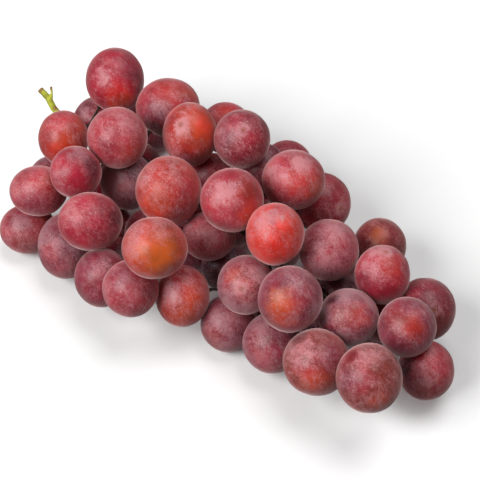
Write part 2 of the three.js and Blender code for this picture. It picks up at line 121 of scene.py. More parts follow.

# The look of each grape that the photograph shows: its main tone, how much bloom lies on it from 0 to 1, and
# patches of other tones or of frost. A patch has the place of its middle, across and up the face that is
# seen, and its size, all as shares of the radius, and its strength. The looks hold light and shade as
# well: some pale patches are painted highlights, some dark wine and plum patches are painted shade, and
# the orange patches are partly a painted glow of light through the flesh.
GRAPE_LOOKS = {
    "shoulder_01": ("crimson", 0.32, [
        ("frost", -0.35, 0.35, 0.5, 0.3), ("scarlet", 0.15, -0.5, 0.5, 0.7),
        ("ember", 0.3, -0.75, 0.4, 0.8), ("mauve", 0.55, 0.3, 0.45, 0.6), ("plum", 0.85, -0.2, 0.3, 0.6),
        ("frost", -0.5, 0.1, 0.25, 0.3),
    ]),
    "shoulder_02": ("rose", 0.45, [
        ("brick", 0.1, 0.6, 0.6, 0.7), ("ember", 0.75, 0.4, 0.4, 0.6), ("mauve", -0.5, -0.25, 0.5, 0.8),
        ("frost", -0.3, -0.1, 0.4, 0.35), ("plum", -0.4, -0.8, 0.45, 0.9),
    ]),
    "shoulder_03": ("brick", 0.38, [
        ("rose", -0.1, 0.7, 0.6, 0.8), ("ember", 0.1, -0.1, 0.5, 0.6), ("ember", 0.8, 0.4, 0.4, 0.6),
        ("rose", -0.6, 0.2, 0.4, 0.5), ("frost", 0.0, -0.3, 0.4, -0.2), ("frost", -0.4, 0.5, 0.3, 0.3),
    ]),
    "shoulder_04": ("rose", 0.5, [
        ("frost", 0.3, 0.6, 0.6, 0.3), ("brick", 0.45, -0.55, 0.5, 0.8), ("wine", -0.3, -0.35, 0.45, 0.5),
        ("frost", -0.1, -0.95, 0.35, 0.3),
    ]),
    "shoulder_05": ("wine", 0.5, [
        ("mauve", -0.6, 0.5, 0.5, 0.8), ("frost", -0.6, 0.3, 0.3, 0.4), ("rose", -0.1, 0.1, 0.5, 0.6),
    ]),
    # Its pale patch up and left of the middle is a painted highlight.
    "shoulder_06": ("brick", 0.35, [
        ("ember", 0.35, 0.25, 0.7, 0.95), ("coral", 0.5, 0.4, 0.4, 0.6), ("frost", -0.35, 0.2, 0.4, 0.5),
        ("wine", -0.75, 0.45, 0.25, 0.8), ("frost", -0.7, -0.4, 0.4, 0.4), ("wine", -0.1, -0.85, 0.5, 0.9),
        ("frost", 0.0, 0.85, 0.4, 0.35), ("frost", 0.45, 0.3, 0.4, -0.3),
    ]),
    "shoulder_07": ("crimson", 0.42, [
        ("mauve", 0.1, 0.75, 0.5, 0.8), ("plum", 0.65, 0.1, 0.45, 0.7), ("frost", 0.1, 0.75, 0.4, 0.45),
        ("frost", -0.7, -0.3, 0.35, 0.35), ("frost", 0.2, -0.3, 0.3, -0.25),
    ]),
    "shoulder_08": ("rose", 0.5, [
        ("brick", 0.3, 0.35, 0.4, 0.9), ("frost", -0.6, 0.0, 0.5, 0.3), ("mauve", -0.2, -0.5, 0.6, 0.5),
        ("frost", 0.2, 0.85, 0.3, 0.3),
    ]),
    "shoulder_09": ("mauve", 0.75, [("rose", -0.4, 0.3, 0.4, 0.5)]),
    # Its pale patch up and left is a painted highlight, and its brick patch up and right is partly a painted
    # glow of light through the flesh.
    "shoulder_10": ("rose", 0.62, [
        ("mauve", -0.3, 0.3, 0.6, 0.7), ("brick", 0.65, 0.35, 0.4, 0.7), ("frost", -0.3, 0.3, 0.4, 0.35),
        ("russet", 0.0, -0.6, 0.6, 0.6),
    ]),
    "shoulder_11": ("mauve", 0.65, [
        ("rose", -0.6, -0.2, 0.4, 0.8), ("rose", 0.0, -0.8, 0.5, 0.7), ("frost", -0.8, 0.3, 0.4, 0.3),
        ("frost", 0.3, -0.1, 0.4, 0.3),
    ]),
    # Its wine and plum patches on the right are painted shadow.
    "shoulder_12": ("crimson", 0.42, [
        ("frost", -0.65, 0.35, 0.4, 0.35), ("rose", -0.5, 0.3, 0.5, 0.6), ("crimson", -0.4, -0.4, 0.3, 0.7),
        ("wine", 0.6, 0.35, 0.55, 0.8), ("plum", 0.9, 0.1, 0.4, 0.7),
    ]),
    "shoulder_13": ("mauve", 0.9, [
        ("plum", 0.1, 0.6, 0.6, 0.8), ("rose", -0.4, -0.2, 0.4, 0.4), ("frost", -0.5, 0.1, 0.4, 0.35),
    ]),
    "middle_01": ("brick", 0.45, [
        ("ember", -0.4, -0.35, 0.5, 0.6), ("rose", 0.6, 0.1, 0.5, 0.6), ("frost", -0.7, 0.4, 0.4, 0.4),
        ("frost", 0.1, 0.75, 0.3, 0.35), ("wine", 0.5, -0.6, 0.5, 0.6),
    ]),
    "middle_02": ("brick", 0.4, [
        ("ember", -0.2, 0.0, 0.8, 0.6), ("amber", 0.2, -0.2, 0.75, 0.85), ("brick", -0.1, 0.5, 0.5, 0.5),
        ("frost", -0.6, 0.5, 0.45, 0.45), ("frost", 0.2, 0.8, 0.3, 0.3), ("frost", 0.1, -0.1, 0.4, -0.2),
        ("frost", -0.75, -0.2, 0.3, 0.4),
    ]),
    # Its small pale patch up and left is a painted highlight.
    "middle_03": ("mauve", 0.45, [
        ("rose", -0.2, -0.3, 0.6, 0.5), ("wine", 0.4, 0.5, 0.5, 0.7), ("frost", -0.25, 0.25, 0.3, 0.35),
    ]),
    # Its small pale patch left of the middle is a painted highlight.
    "middle_04": ("rose", 0.6, [
        ("mauve", -0.3, 0.4, 0.6, 0.7), ("wine", 0.6, -0.1, 0.4, 0.6), ("frost", -0.3, 0.1, 0.25, 0.3),
        ("frost", -0.8, -0.2, 0.3, 0.2),
    ]),
    # Its wine patch along the top is painted shade, where it lies against the grape above.
    "middle_05": ("brick", 0.52, [
        ("mauve", -0.4, 0.3, 0.5, 0.6), ("ember", 0.1, -0.6, 0.6, 0.8), ("wine", 0.1, 0.8, 0.5, 0.7),
        ("ember", 0.45, -0.1, 0.45, 0.6), ("frost", -0.5, 0.1, 0.4, 0.4),
    ]),
    "middle_06": ("rose", 0.42, [
        ("frost", -0.3, 0.25, 0.5, 0.7), ("brick", 0.55, 0.25, 0.45, 0.8), ("ember", 0.55, -0.55, 0.4, 0.6),
        ("crimson", -0.2, 0.75, 0.3, 0.8), ("crimson", -0.3, 0.1, 0.14, 0.9),
        ("crimson", -0.65, 0.0, 0.25, 0.7), ("frost", 0.2, -0.8, 0.3, 0.3), ("frost", 0.55, 0.3, 0.4, -0.3),
        ("frost", -0.3, 0.1, 0.12, -0.6), ("frost", 0.0, 0.75, 0.25, -0.4),
    ]),
    # Its wine patch low down is painted shade beside its neighbour.
    "middle_07": ("wine", 0.46, [
        ("crimson", 0.2, 0.1, 0.5, 0.8), ("mauve", -0.6, 0.3, 0.5, 0.7), ("wine", 0.2, -0.6, 0.5, 0.8),
        ("frost", -0.6, 0.1, 0.5, 0.3), ("crimson", -0.2, 0.6, 0.35, 0.5),
    ]),
    "middle_08": ("rose", 0.38, [("brick", 0.3, 0.4, 0.5, 0.7), ("brick", -0.2, 0.6, 0.4, 0.6)]),
    # Its small pale patch left of the middle is a painted highlight, and its ember patch low on the right is
    # partly a painted glow of light through the flesh.
    "middle_09": ("rose", 0.5, [
        ("frost", 0.25, 0.55, 0.35, 0.7), ("frost", -0.65, 0.25, 0.35, 0.5),
        ("crimson", -0.45, 0.5, 0.3, 0.8), ("ember", 0.7, -0.3, 0.4, 0.8), ("coral", 0.2, -0.1, 0.5, 0.6),
        ("frost", -0.35, 0.0, 0.2, 0.4),
    ]),
    "middle_10": ("rose", 0.5, [("crimson", -0.4, 0.6, 0.4, 0.5), ("mauve", 0.4, 0.5, 0.5, 0.5)]),
    "middle_11": ("rose", 0.46, [("rose", 0.4, 0.2, 0.5, 0.7), ("wine", 0.1, -0.5, 0.5, 0.6)]),
    "middle_12": ("coral", 0.42, [
        ("frost", -0.3, 0.4, 0.55, 0.7), ("crimson", -0.1, 0.35, 0.16, 0.9),
        ("scarlet", -0.45, 0.15, 0.16, 0.8), ("crimson", 0.1, 0.8, 0.35, 0.7),
        ("scarlet", 0.15, -0.35, 0.6, 0.9), ("frost", 0.4, 0.55, 0.3, 0.4),
        ("frost", 0.1, 0.15, 0.25, -0.3), ("frost", -0.6, -0.2, 0.22, -0.35),
    ]),
    "middle_13": ("mauve", 0.5, [("wine", 0.3, -0.2, 0.6, 0.6)]),
    "middle_14": ("rose", 0.5, [("wine", -0.4, 0.2, 0.5, 0.6)]),
    "middle_15": ("rose", 0.7, [
        ("wine", -0.2, -0.2, 0.5, 0.4), ("frost", 0.0, -0.85, 0.35, 0.4), ("frost", 0.1, 0.1, 0.3, 0.3),
    ]),
    "middle_16": ("mauve", 0.8, []),
    "middle_17": ("plum", 0.5, [("mauve", 0.0, 0.0, 0.6, 0.4)]),
    "middle_18": ("wine", 0.3, [("plum", 0.2, 0.2, 0.7, 0.6), ("ember", 0.3, -0.6, 0.4, 0.5)]),
    "middle_19": ("wine", 0.4, [("plum", 0.2, 0.2, 0.7, 0.6)]),
    "tip_01": ("rose", 0.66, [
        ("mauve", 0.0, 0.0, 1.2, 0.6), ("crimson", 0.2, 0.3, 0.6, 0.65), ("crimson", -0.2, -0.2, 0.3, 0.5),
        ("wine", -0.7, -0.1, 0.35, 0.7), ("wine", -0.35, 0.85, 0.3, 0.9), ("frost", -0.35, -0.5, 0.4, 0.4),
        ("plum", 0.1, -0.85, 0.35, 0.5), ("frost", 0.1, 0.7, 0.4, 0.35),
    ]),
    "tip_02": ("mauve", 0.62, [
        ("russet", 0.0, 0.0, 0.7, 0.7), ("wine", 0.4, -0.2, 0.5, 0.6), ("brick", -0.15, -0.1, 0.3, 0.7),
        ("ember", -0.4, 0.35, 0.35, 0.5), ("wine", 0.1, 0.5, 0.3, 0.6), ("frost", -0.6, -0.55, 0.4, 0.6),
        ("frost", 0.5, 0.35, 0.35, 0.5), ("frost", 0.1, -0.85, 0.4, 0.4),
    ]),
    # Its amber patch left of the middle is partly a painted glow of light through the flesh.
    "tip_03": ("mauve", 0.46, [
        ("amber", -0.3, -0.05, 0.4, 0.85), ("ember", -0.3, -0.5, 0.5, 0.7), ("rose", 0.3, 0.1, 0.5, 0.5),
        ("frost", 0.2, 0.7, 0.5, 0.3), ("frost", 0.8, -0.3, 0.3, 0.3),
    ]),
    "tip_04": ("mauve", 0.62, [
        ("wine", 0.2, 0.2, 0.4, 0.6), ("russet", -0.6, -0.5, 0.5, 0.7), ("frost", -0.3, 0.1, 0.4, 0.35),
        ("frost", 0.1, -0.7, 0.4, 0.3),
    ]),
    "tip_05": ("mauve", 0.64, [
        ("rose", -0.2, -0.6, 0.6, 0.7), ("russet", -0.5, 0.1, 0.4, 0.5), ("frost", -0.5, 0.5, 0.4, 0.3),
    ]),
    "tip_06": ("russet", 0.52, [
        ("ember", -0.1, -0.65, 0.45, 0.8), ("mauve", 0.5, 0.2, 0.5, 0.8), ("plum", -0.5, 0.7, 0.3, 0.6),
        ("frost", -0.5, 0.35, 0.4, 0.5), ("crimson", -0.3, 0.0, 0.4, 0.5), ("russet", 0.5, -0.7, 0.4, 0.6),
        ("frost", -0.45, 0.75, 0.25, -0.4), ("frost", 0.1, 0.2, 0.25, 0.3),
    ]),
    "tip_07": ("mauve", 0.62, [
        ("frost", -0.2, 0.8, 0.45, 0.7), ("frost", -0.85, 0.1, 0.35, 0.6), ("plum", -0.5, 0.65, 0.22, 0.9),
        ("plum", -0.85, -0.1, 0.2, 0.8), ("brick", 0.4, 0.0, 0.4, 0.8), ("russet", -0.2, 0.1, 0.45, 0.8),
        ("frost", -0.25, -0.65, 0.35, 0.5), ("frost", 0.75, 0.5, 0.3, 0.6),
        ("frost", -0.5, 0.65, 0.2, -0.6), ("frost", -0.85, -0.1, 0.18, -0.6),
        ("frost", 0.35, 0.35, 0.25, -0.3),
    ]),
    "tip_08": ("russet", 0.54, [
        ("wine", -0.6, 0.6, 0.3, 0.8), ("frost", 0.0, 0.75, 0.4, 0.4), ("crimson", -0.2, -0.05, 0.4, 0.7),
        ("ember", 0.3, -0.6, 0.35, 0.6), ("mauve", -0.7, 0.0, 0.5, 0.6), ("russet", 0.7, -0.1, 0.4, 0.6),
        ("frost", -0.6, 0.6, 0.25, -0.5), ("frost", 0.3, 0.3, 0.3, -0.2),
    ]),
    "tip_09": ("rose", 0.55, [
        ("plum", -0.7, 0.1, 0.35, 0.9), ("frost", -0.35, 0.0, 0.25, 0.6), ("frost", 0.0, -0.35, 0.3, 0.5),
        ("russet", 0.2, -0.7, 0.5, 0.6), ("rose", 0.4, 0.3, 0.4, 0.6),
    ]),
    "tip_10": ("mauve", 0.46, [
        ("brick", 0.2, 0.0, 0.5, 0.95), ("russet", -0.4, 0.3, 0.5, 0.6), ("frost", 0.6, 0.7, 0.3, 0.4),
        ("frost", 0.25, 0.0, 0.3, -0.25),
    ]),
    "tip_11": ("wine", 0.42, [("mauve", 0.2, 0.4, 0.5, 0.5), ("russet", 0.4, -0.4, 0.5, 0.6)]),
    # Its pale patch up and left is a painted highlight, and its wine patch along the bottom is painted shade.
    "tip_12": ("crimson", 0.42, [
        ("frost", -0.45, 0.25, 0.35, 0.65), ("frost", -0.1, 0.85, 0.35, 0.6),
        ("mauve", -0.6, -0.2, 0.4, 0.6), ("brick", 0.35, 0.3, 0.5, 0.7), ("wine", 0.0, -0.8, 0.5, 0.95),
        ("frost", 0.1, -0.75, 0.5, -0.3), ("frost", 0.45, 0.1, 0.3, -0.2),
    ]),
    "tip_13": ("russet", 0.35, [
        ("amber", -0.05, 0.4, 0.35, 0.6), ("wine", 0.5, 0.4, 0.5, 0.6), ("wine", -0.6, 0.4, 0.4, 0.5),
    ]),
    "tip_14": ("plum", 0.4, [("wine", 0.0, 0.0, 0.7, 0.4)]),
    "tip_15": ("wine", 0.36, [("russet", 0.0, 0.2, 0.6, 0.6)]),
    "tip_16": ("plum", 0.45, [("wine", 0.3, 0.3, 0.6, 0.5)]),
}

# The place of the blossom scar on the grapes where it is seen: across and up, as shares of the radius.
SEEN_SCARS = {
    "shoulder_06": (-0.32, 0.32),
    "middle_07": (0.03, 0.3),
    "middle_11": (0.66, -0.18),
    "tip_02": (-0.16, -0.13),
    "tip_12": (0.13, 0.76),
    "tip_11": (0.29, 0.0),
    "tip_09": (0.03, 0.69),
}

# The bare stalk and its withered side shoot, as pixels of the photograph and heights above the surface.
STALK_CUT = point_at_height((40, 89), 42 * MM)
STALK_FORK = point_at_height((50.5, 101), 38 * MM)
STALK_FOOT = point_at_height((57, 113), 34 * MM)
SHOOT_TIP = point_at_height((51, 86.5), 43 * MM)
STALK_BRUISE = point_at_height((56, 108), 36.5 * MM)


class GrapeSettings(bpy.types.PropertyGroup):
    """Sizes and colours of the finished grapes."""

    sides: bpy.props.IntProperty(name="Sides", description="Faces round each grape", default=60, min=12)
    rings: bpy.props.IntProperty(
        name="Rings", description="Faces from the stem to the blossom end", default=42, min=8
    )
    dimple_depth: bpy.props.FloatProperty(
        name="Dimple Depth",
        description="Depth of the dimple round the stem",
        default=0.75 * MM,
        unit="LENGTH",
    )
    dimple_radius: bpy.props.FloatProperty(
        name="Dimple Radius",
        description="Radius of the dimple round the stem",
        default=2.4 * MM,
        unit="LENGTH",
    )
    unevenness: bpy.props.FloatProperty(
        name="Unevenness",
        description="How far the skin departs from a true oval",
        default=0.22 * MM,
        unit="LENGTH",
    )
    softness: bpy.props.FloatProperty(
        name="Contact Softness",
        description="How gently a pressed face rounds off",
        default=0.22 * MM,
        unit="LENGTH",
    )
    scar_radius: bpy.props.FloatProperty(
        name="Scar Radius",
        description="Radius of the scar at the blossom end",
        default=1.15 * MM,
        unit="LENGTH",
    )
    bloom_colour: bpy.props.FloatVectorProperty(
        name="Bloom",
        description="Colour of thin wax bloom",
        default=linear("#C98A8F"),
        size=4,
        subtype="COLOR",
    )
    chalk_colour: bpy.props.FloatVectorProperty(
        name="Chalky Bloom",
        description="Colour of thick wax bloom",
        default=linear("#AB7F86"),
        size=4,
        subtype="COLOR",
    )
    scar_colour: bpy.props.FloatVectorProperty(
        name="Scar",
        description="Colour of the corky scar",
        default=linear("#96463A"),
        size=4,
        subtype="COLOR",
    )


class StemSettings(bpy.types.PropertyGroup):
    """Sizes and colours of the branching stem."""

    voxel: bpy.props.FloatProperty(
        name="Voxel", description="Grid on which the stem is rounded", default=0.36 * MM, unit="LENGTH"
    )
    smoothing: bpy.props.IntProperty(name="Smoothing", description="Rounds of smoothing", default=6, min=0)
    swelling: bpy.props.FloatProperty(
        name="Swelling",
        description="Thickness given back after smoothing",
        default=0.08 * MM,
        unit="LENGTH",
    )
    bark_depth: bpy.props.FloatProperty(
        name="Bark Depth", description="Height of the uneven bark", default=0.12 * MM, unit="LENGTH"
    )
    lenticel_density: bpy.props.FloatProperty(
        name="Lenticel Density",
        description="Corky specks on each square metre of stem",
        default=60000.0,
        min=0.0,
    )
    lenticel_radius: bpy.props.FloatProperty(
        name="Lenticel Radius", description="Radius of a corky speck", default=0.2 * MM, unit="LENGTH"
    )
    stalk_colour: bpy.props.FloatVectorProperty(
        name="Stalk",
        description="Colour of the fresh stalk",
        default=linear("#B4B938"),
        size=4,
        subtype="COLOR",
    )
    # Inside the bunch the stem is painted this dark brown as shade.
    branch_shade_colour: bpy.props.FloatVectorProperty(
        name="Branches",
        description="Colour of the branches inside",
        default=linear("#33251A"),
        size=4,
        subtype="COLOR",
    )
    dried_colour: bpy.props.FloatVectorProperty(
        name="Dried Ends",
        description="Colour of the dried cut ends",
        default=linear("#94703F"),
        size=4,
        subtype="COLOR",
    )


class StageSettings(bpy.types.PropertyGroup):
    """The floor and the light."""

    floor_size: bpy.props.FloatProperty(
        name="Floor Size", description="Length of the floor's side", default=6.0, unit="LENGTH"
    )
    floor_colour: bpy.props.FloatVectorProperty(
        name="Floor", description="Colour of the floor", default=linear("#FFFFFF"), size=4, subtype="COLOR"
    )
    key_power: bpy.props.FloatProperty(
        name="Key Light", description="Power of the large soft light", default=45.0, unit="POWER"
    )
    key_size: bpy.props.FloatProperty(
        name="Key Size", description="Side of the large soft light", default=1.3, unit="LENGTH"
    )
    top_power: bpy.props.FloatProperty(
        name="Top Light", description="Power of the soft light overhead", default=23.0, unit="POWER"
    )
    top_size: bpy.props.FloatProperty(
        name="Top Size", description="Side of the soft light overhead", default=1.4, unit="LENGTH"
    )
    sky_strength: bpy.props.FloatProperty(
        name="Sky", description="Strength of the even light from all round", default=0.15
    )


def add_node(tree, kind, inputs=(), **settings):
    """Adds a node with its settings. Each input is a value, or the socket that feeds it."""
    made = tree.nodes.new(kind)
    for name, value in settings.items():
        setattr(made, name, value)
    for socket, value in dict(inputs).items():
        if isinstance(value, bpy.types.NodeSocket):
            tree.links.new(value, made.inputs[socket])
        else:
            made.inputs[socket].default_value = value
    return made


# The sockets of a Mix node that mixes colours, by number, because the ones for other kinds share their names.
MIX_FACTOR = 0
MIX_FIRST = 6
MIX_SECOND = 7
MIX_RESULT = 2


def new_material(name, fixed):
    """A node material whose Principled shader has some sockets set to fixed values."""
    material = bpy.data.materials.new(name)
    material.use_nodes = True
    tree = material.node_tree
    tree.nodes.clear()
    shader = add_node(tree, "ShaderNodeBsdfPrincipled", fixed)
    add_node(tree, "ShaderNodeOutputMaterial", {"Surface": shader.outputs[0]})
    return material, tree, shader


def grape_skin_material(settings):
    """Ripe grape skin: thin, taut and translucent, under a patchy coat of pale wax bloom.

    The eye sees a reddish glow through the flesh, a fine grain of pale and red flecks under a millimetre
    wide, crisp marks and softer smears where the bloom is thick or rubbed off, and a dusty rim where the wax
    is seen edge on.
    """
    material, tree, shader = new_material(
        "bloomed_grape_skin",
        {
            "IOR": 1.42,
            "Subsurface Weight": 0.7,
            "Subsurface Radius": (1.0, 0.1, 0.06),
            "Subsurface Scale": 9 * MM,
            "Sheen Weight": 1.0,
            "Sheen Roughness": 0.36,
            "Sheen Tint": linear("#FFD9D8"),
            "Coat Weight": 0.1,
            "Coat Roughness": 0.24,
        },
    )
    place = add_node(tree, "ShaderNodeTexCoord").outputs["Object"]
    # The skin colour and bloom attributes also carry the painted shade, painted glow and painted highlights
    # of the grapes' looks.
    skin = add_node(tree, "ShaderNodeAttribute", attribute_name="skin_colour").outputs["Color"]
    bloom = add_node(tree, "ShaderNodeAttribute", attribute_name="bloom").outputs["Fac"]

    # Uneven ripeness: lighter and darker areas about 9 mm wide.
    ripeness = add_node(
        tree,
        "ShaderNodeTexNoise",
        {"Vector": place, "Scale": 1 / (9 * MM), "Detail": 3.0, "Roughness": 0.55},
    )
    ripe = add_node(
        tree,
        "ShaderNodeMapRange",
        {
            "Value": ripeness.outputs["Fac"],
            "From Min": 0.33,
            "From Max": 0.67,
            "To Min": 0.75,
            "To Max": 1.22,
        },
    )
    ripe_skin = add_node(
        tree, "ShaderNodeVectorMath", {0: skin, 1: ripe.outputs["Result"]}, operation="MULTIPLY"
    )

    # Bloom lies in smears about 5 mm wide, drawn out by handling.
    drawn_out = add_node(
        tree, "ShaderNodeMapping", {"Vector": place, "Rotation": (0.5, 0.3, 0.9), "Scale": (1.0, 1.8, 0.8)}
    )
    smears = add_node(
        tree,
        "ShaderNodeTexNoise",
        {"Vector": drawn_out.outputs["Vector"], "Scale": 1 / (5 * MM), "Detail": 4.0, "Roughness": 0.6},
    )
    # Fine winding flecks 1.4 mm wide, where it is rubbed through.
    flecks = add_node(
        tree,
        "ShaderNodeTexNoise",
        {"Vector": place, "Scale": 1 / (1.4 * MM), "Detail": 3.0, "Roughness": 0.7, "Distortion": 1.2},
    )
    # Single wax specks are 0.1 mm and wouldn't show, so they are drawn 0.6 mm wide.
    specks = add_node(
        tree,
        "ShaderNodeTexNoise",
        {"Vector": place, "Scale": 1 / (0.6 * MM), "Detail": 1.0, "Roughness": 0.6},
    )
    # Marks about 3 mm wide with crisp edges: some wiped bare, others where the wax is dabbed on thickly.
    marks = add_node(
        tree,
        "ShaderNodeTexNoise",
        {
            "Vector": drawn_out.outputs["Vector"],
            "Scale": 1 / (3.2 * MM),
            "Detail": 3.0,
            "Roughness": 0.6,
            "Distortion": 1.6,
        },
    )
    # Each pattern, the stretch of its values that counts, what it changes there, and how it gets there.
    changes = (
        (marks, 0.56, 0.61, 0.0, -0.26, "SMOOTHSTEP"),
        (marks, 0.43, 0.38, 0.0, 0.24, "SMOOTHSTEP"),
        (smears, 0.3, 0.7, -0.24, 0.24, "LINEAR"),
        (flecks, 0.3, 0.7, -0.24, 0.24, "LINEAR"),
        (specks, 0.3, 0.7, -0.19, 0.19, "LINEAR"),
    )
    patchy = 0.0
    for pattern, start, end, first, last, slope in changes:
        part = add_node(
            tree,
            "ShaderNodeMapRange",
            {
                "Value": pattern.outputs["Fac"],
                "From Min": start,
                "From Max": end,
                "To Min": first,
                "To Max": last,
            },
            interpolation_type=slope,
        )
        total = add_node(tree, "ShaderNodeMath", {0: part.outputs["Result"], 1: patchy}, operation="ADD")
        patchy = total.outputs[0]
    wax = add_node(tree, "ShaderNodeMath", {0: bloom, 1: patchy}, operation="ADD")
    cover = add_node(
        tree,
        "ShaderNodeMapRange",
        {"Value": wax.outputs[0], "From Min": 0.15, "From Max": 1.3, "To Min": 0.0, "To Max": 0.8},
        interpolation_type="SMOOTHSTEP",
    )
    chalk = add_node(tree, "ShaderNodeAttribute", attribute_name="chalk").outputs["Fac"]
    wax_colour = add_node(
        tree,
        "ShaderNodeMix",
        {MIX_FACTOR: chalk, MIX_FIRST: settings.bloom_colour[:], MIX_SECOND: settings.chalk_colour[:]},
        data_type="RGBA",
    )
    colour = add_node(
        tree,
        "ShaderNodeMix",
        {
            MIX_FACTOR: cover.outputs["Result"],
            MIX_FIRST: ripe_skin.outputs["Vector"],
            MIX_SECOND: wax_colour.outputs[MIX_RESULT],
        },
        data_type="RGBA",
    )
    gloss = add_node(tree, "ShaderNodeMapRange", {"Value": wax.outputs[0], "To Min": 0.34, "To Max": 0.58})
    relief = add_node(tree, "ShaderNodeBump", {"Height": patchy, "Strength": 0.35, "Distance": 0.1 * MM})
    tree.links.new(colour.outputs[MIX_RESULT], shader.inputs["Base Color"])
    tree.links.new(gloss.outputs["Result"], shader.inputs["Roughness"])
    tree.links.new(relief.outputs["Normal"], shader.inputs["Normal"])
    return material


def scar_material(settings):
    """Cork: dull, dry and finely broken, brown with a paler crust."""
    material, tree, shader = new_material("blossom_scar_cork", {"Roughness": 0.85, "IOR": 1.45})
    place = add_node(tree, "ShaderNodeTexCoord").outputs["Object"]
    # Cork cells are too fine to show, so the crust is broken into pieces 0.4 mm wide.
    crust = add_node(
        tree,
        "ShaderNodeTexNoise",
        {"Vector": place, "Scale": 1 / (0.4 * MM), "Detail": 3.0, "Roughness": 0.7},
    )
    colour = add_node(
        tree,
        "ShaderNodeMix",
        {
            MIX_FACTOR: crust.outputs["Fac"],
            MIX_FIRST: settings.scar_colour[:],
            MIX_SECOND: linear("#CE8A78"),
        },
        data_type="RGBA",
    )
    relief = add_node(
        tree, "ShaderNodeBump", {"Height": crust.outputs["Fac"], "Strength": 0.6, "Distance": 0.1 * MM}
    )
    tree.links.new(colour.outputs[MIX_RESULT], shader.inputs["Base Color"])
    tree.links.new(relief.outputs["Normal"], shader.inputs["Normal"])
    return material


def stem_material(settings):
    """Green grape stem: a thin ribbed bark, lime-green on the bare stalk and painted dark brown as shade
    inside the bunch.
    """
    material, tree, shader = new_material(
        "green_stem_bark",
        {
            "IOR": 1.42,
            "Subsurface Weight": 0.12,
            "Subsurface Radius": (0.8, 0.9, 0.3),
            "Subsurface Scale": 0.8 * MM,
        },
    )
    place = add_node(tree, "ShaderNodeTexCoord").outputs["Object"]
    unshaded = add_node(tree, "ShaderNodeAttribute", attribute_name="unshaded").outputs["Fac"]
    dried = add_node(tree, "ShaderNodeAttribute", attribute_name="dried").outputs["Fac"]
    # Lime-green on the bare stalk, fading into the dark brown painted shade inside the bunch.
    green_and_shade = add_node(
        tree,
        "ShaderNodeMix",
        {MIX_FACTOR: unshaded, MIX_FIRST: settings.branch_shade_colour[:], MIX_SECOND: settings.stalk_colour[:]},
        data_type="RGBA",
    )
    # Ribs of the bark, 0.5 mm apart, and blotches 2.5 mm wide.
    ribs = add_node(
        tree,
        "ShaderNodeTexNoise",
        {"Vector": place, "Scale": 1 / (0.5 * MM), "Detail": 3.0, "Roughness": 0.6},
    )
    blotches = add_node(
        tree,
        "ShaderNodeTexNoise",
        {"Vector": place, "Scale": 1 / (2.5 * MM), "Detail": 4.0, "Roughness": 0.65},
    )
    shade = add_node(
        tree,
        "ShaderNodeMapRange",
        {
            "Value": blotches.outputs["Fac"],
            "From Min": 0.32,
            "From Max": 0.68,
            "To Min": 0.62,
            "To Max": 1.25,
        },
    )
    varied = add_node(
        tree,
        "ShaderNodeVectorMath",
        {0: green_and_shade.outputs[MIX_RESULT], 1: shade.outputs["Result"]},
        operation="MULTIPLY",
    )
    uneven_edge = add_node(
        tree,
        "ShaderNodeMath",
        {0: ribs.outputs["Fac"], 1: dried, 2: -0.3},
        operation="ADD",
    )
    cover = add_node(
        tree,
        "ShaderNodeMapRange",
        {"Value": uneven_edge.outputs[0], "From Min": 0.75, "From Max": 1.1},
        interpolation_type="SMOOTHSTEP",
    )
    colour = add_node(
        tree,
        "ShaderNodeMix",
        {
            MIX_FACTOR: cover.outputs["Result"],
            MIX_FIRST: varied.outputs["Vector"],
            MIX_SECOND: settings.dried_colour[:],
        },
        data_type="RGBA",
    )
    dryness = add_node(
        tree, "ShaderNodeMapRange", {"Value": cover.outputs["Result"], "To Min": 0.5, "To Max": 0.85}
    )
    relief = add_node(
        tree, "ShaderNodeBump", {"Height": ribs.outputs["Fac"], "Strength": 0.5, "Distance": 0.15 * MM}
    )
    tree.links.new(colour.outputs[MIX_RESULT], shader.inputs["Base Color"])
    tree.links.new(dryness.outputs["Result"], shader.inputs["Roughness"])
    tree.links.new(relief.outputs["Normal"], shader.inputs["Normal"])
    return material


def corners_of(mesh):
    """The places of a mesh's vertices, one row each."""
    places = np.empty(len(mesh.vertices) * 3)
    mesh.vertices.foreach_get("co", places)
    return places.reshape(-1, 3)


def place_corners(mesh, places):
    """Moves a mesh's vertices."""
    mesh.vertices.foreach_set("co", places.astype(np.float32).ravel())
    mesh.update()


def put_attribute(mesh, name, kind, values):
    """Stores one value for each vertex of a mesh."""
    field = {"FLOAT": "value", "FLOAT_VECTOR": "vector", "FLOAT_COLOR": "color"}[kind]
    attribute = mesh.attributes.new(name, kind, "POINT")
    attribute.data.foreach_set(field, np.asarray(values, dtype=np.float32).ravel())


def noise_at(places, width, shift):
    """Soft random values from about -1 to 1 at places, which vary over a width."""
    return np.array([noise.noise(Vector(place) / width + shift) for place in places])


def fading(distance, width):
    """1 at distance 0, falling off smoothly to almost nothing beyond twice a width."""
    return np.exp(-((distance / width) ** 2))


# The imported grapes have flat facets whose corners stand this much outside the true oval.
FACET_ALLOWANCE = 1.015
# Each round of the fit leaves out the points that lie further off the oval than this share of its radius.
FIT_TOLERANCES = (0.06, 0.03, 0.02, 0.012, 0.008, 0.008, 0.008)
# Where a stem comes nearer to a grape's middle than this share of its radius, it is the collar in its dimple.
COLLAR_DEPTH_SHARE = 0.99


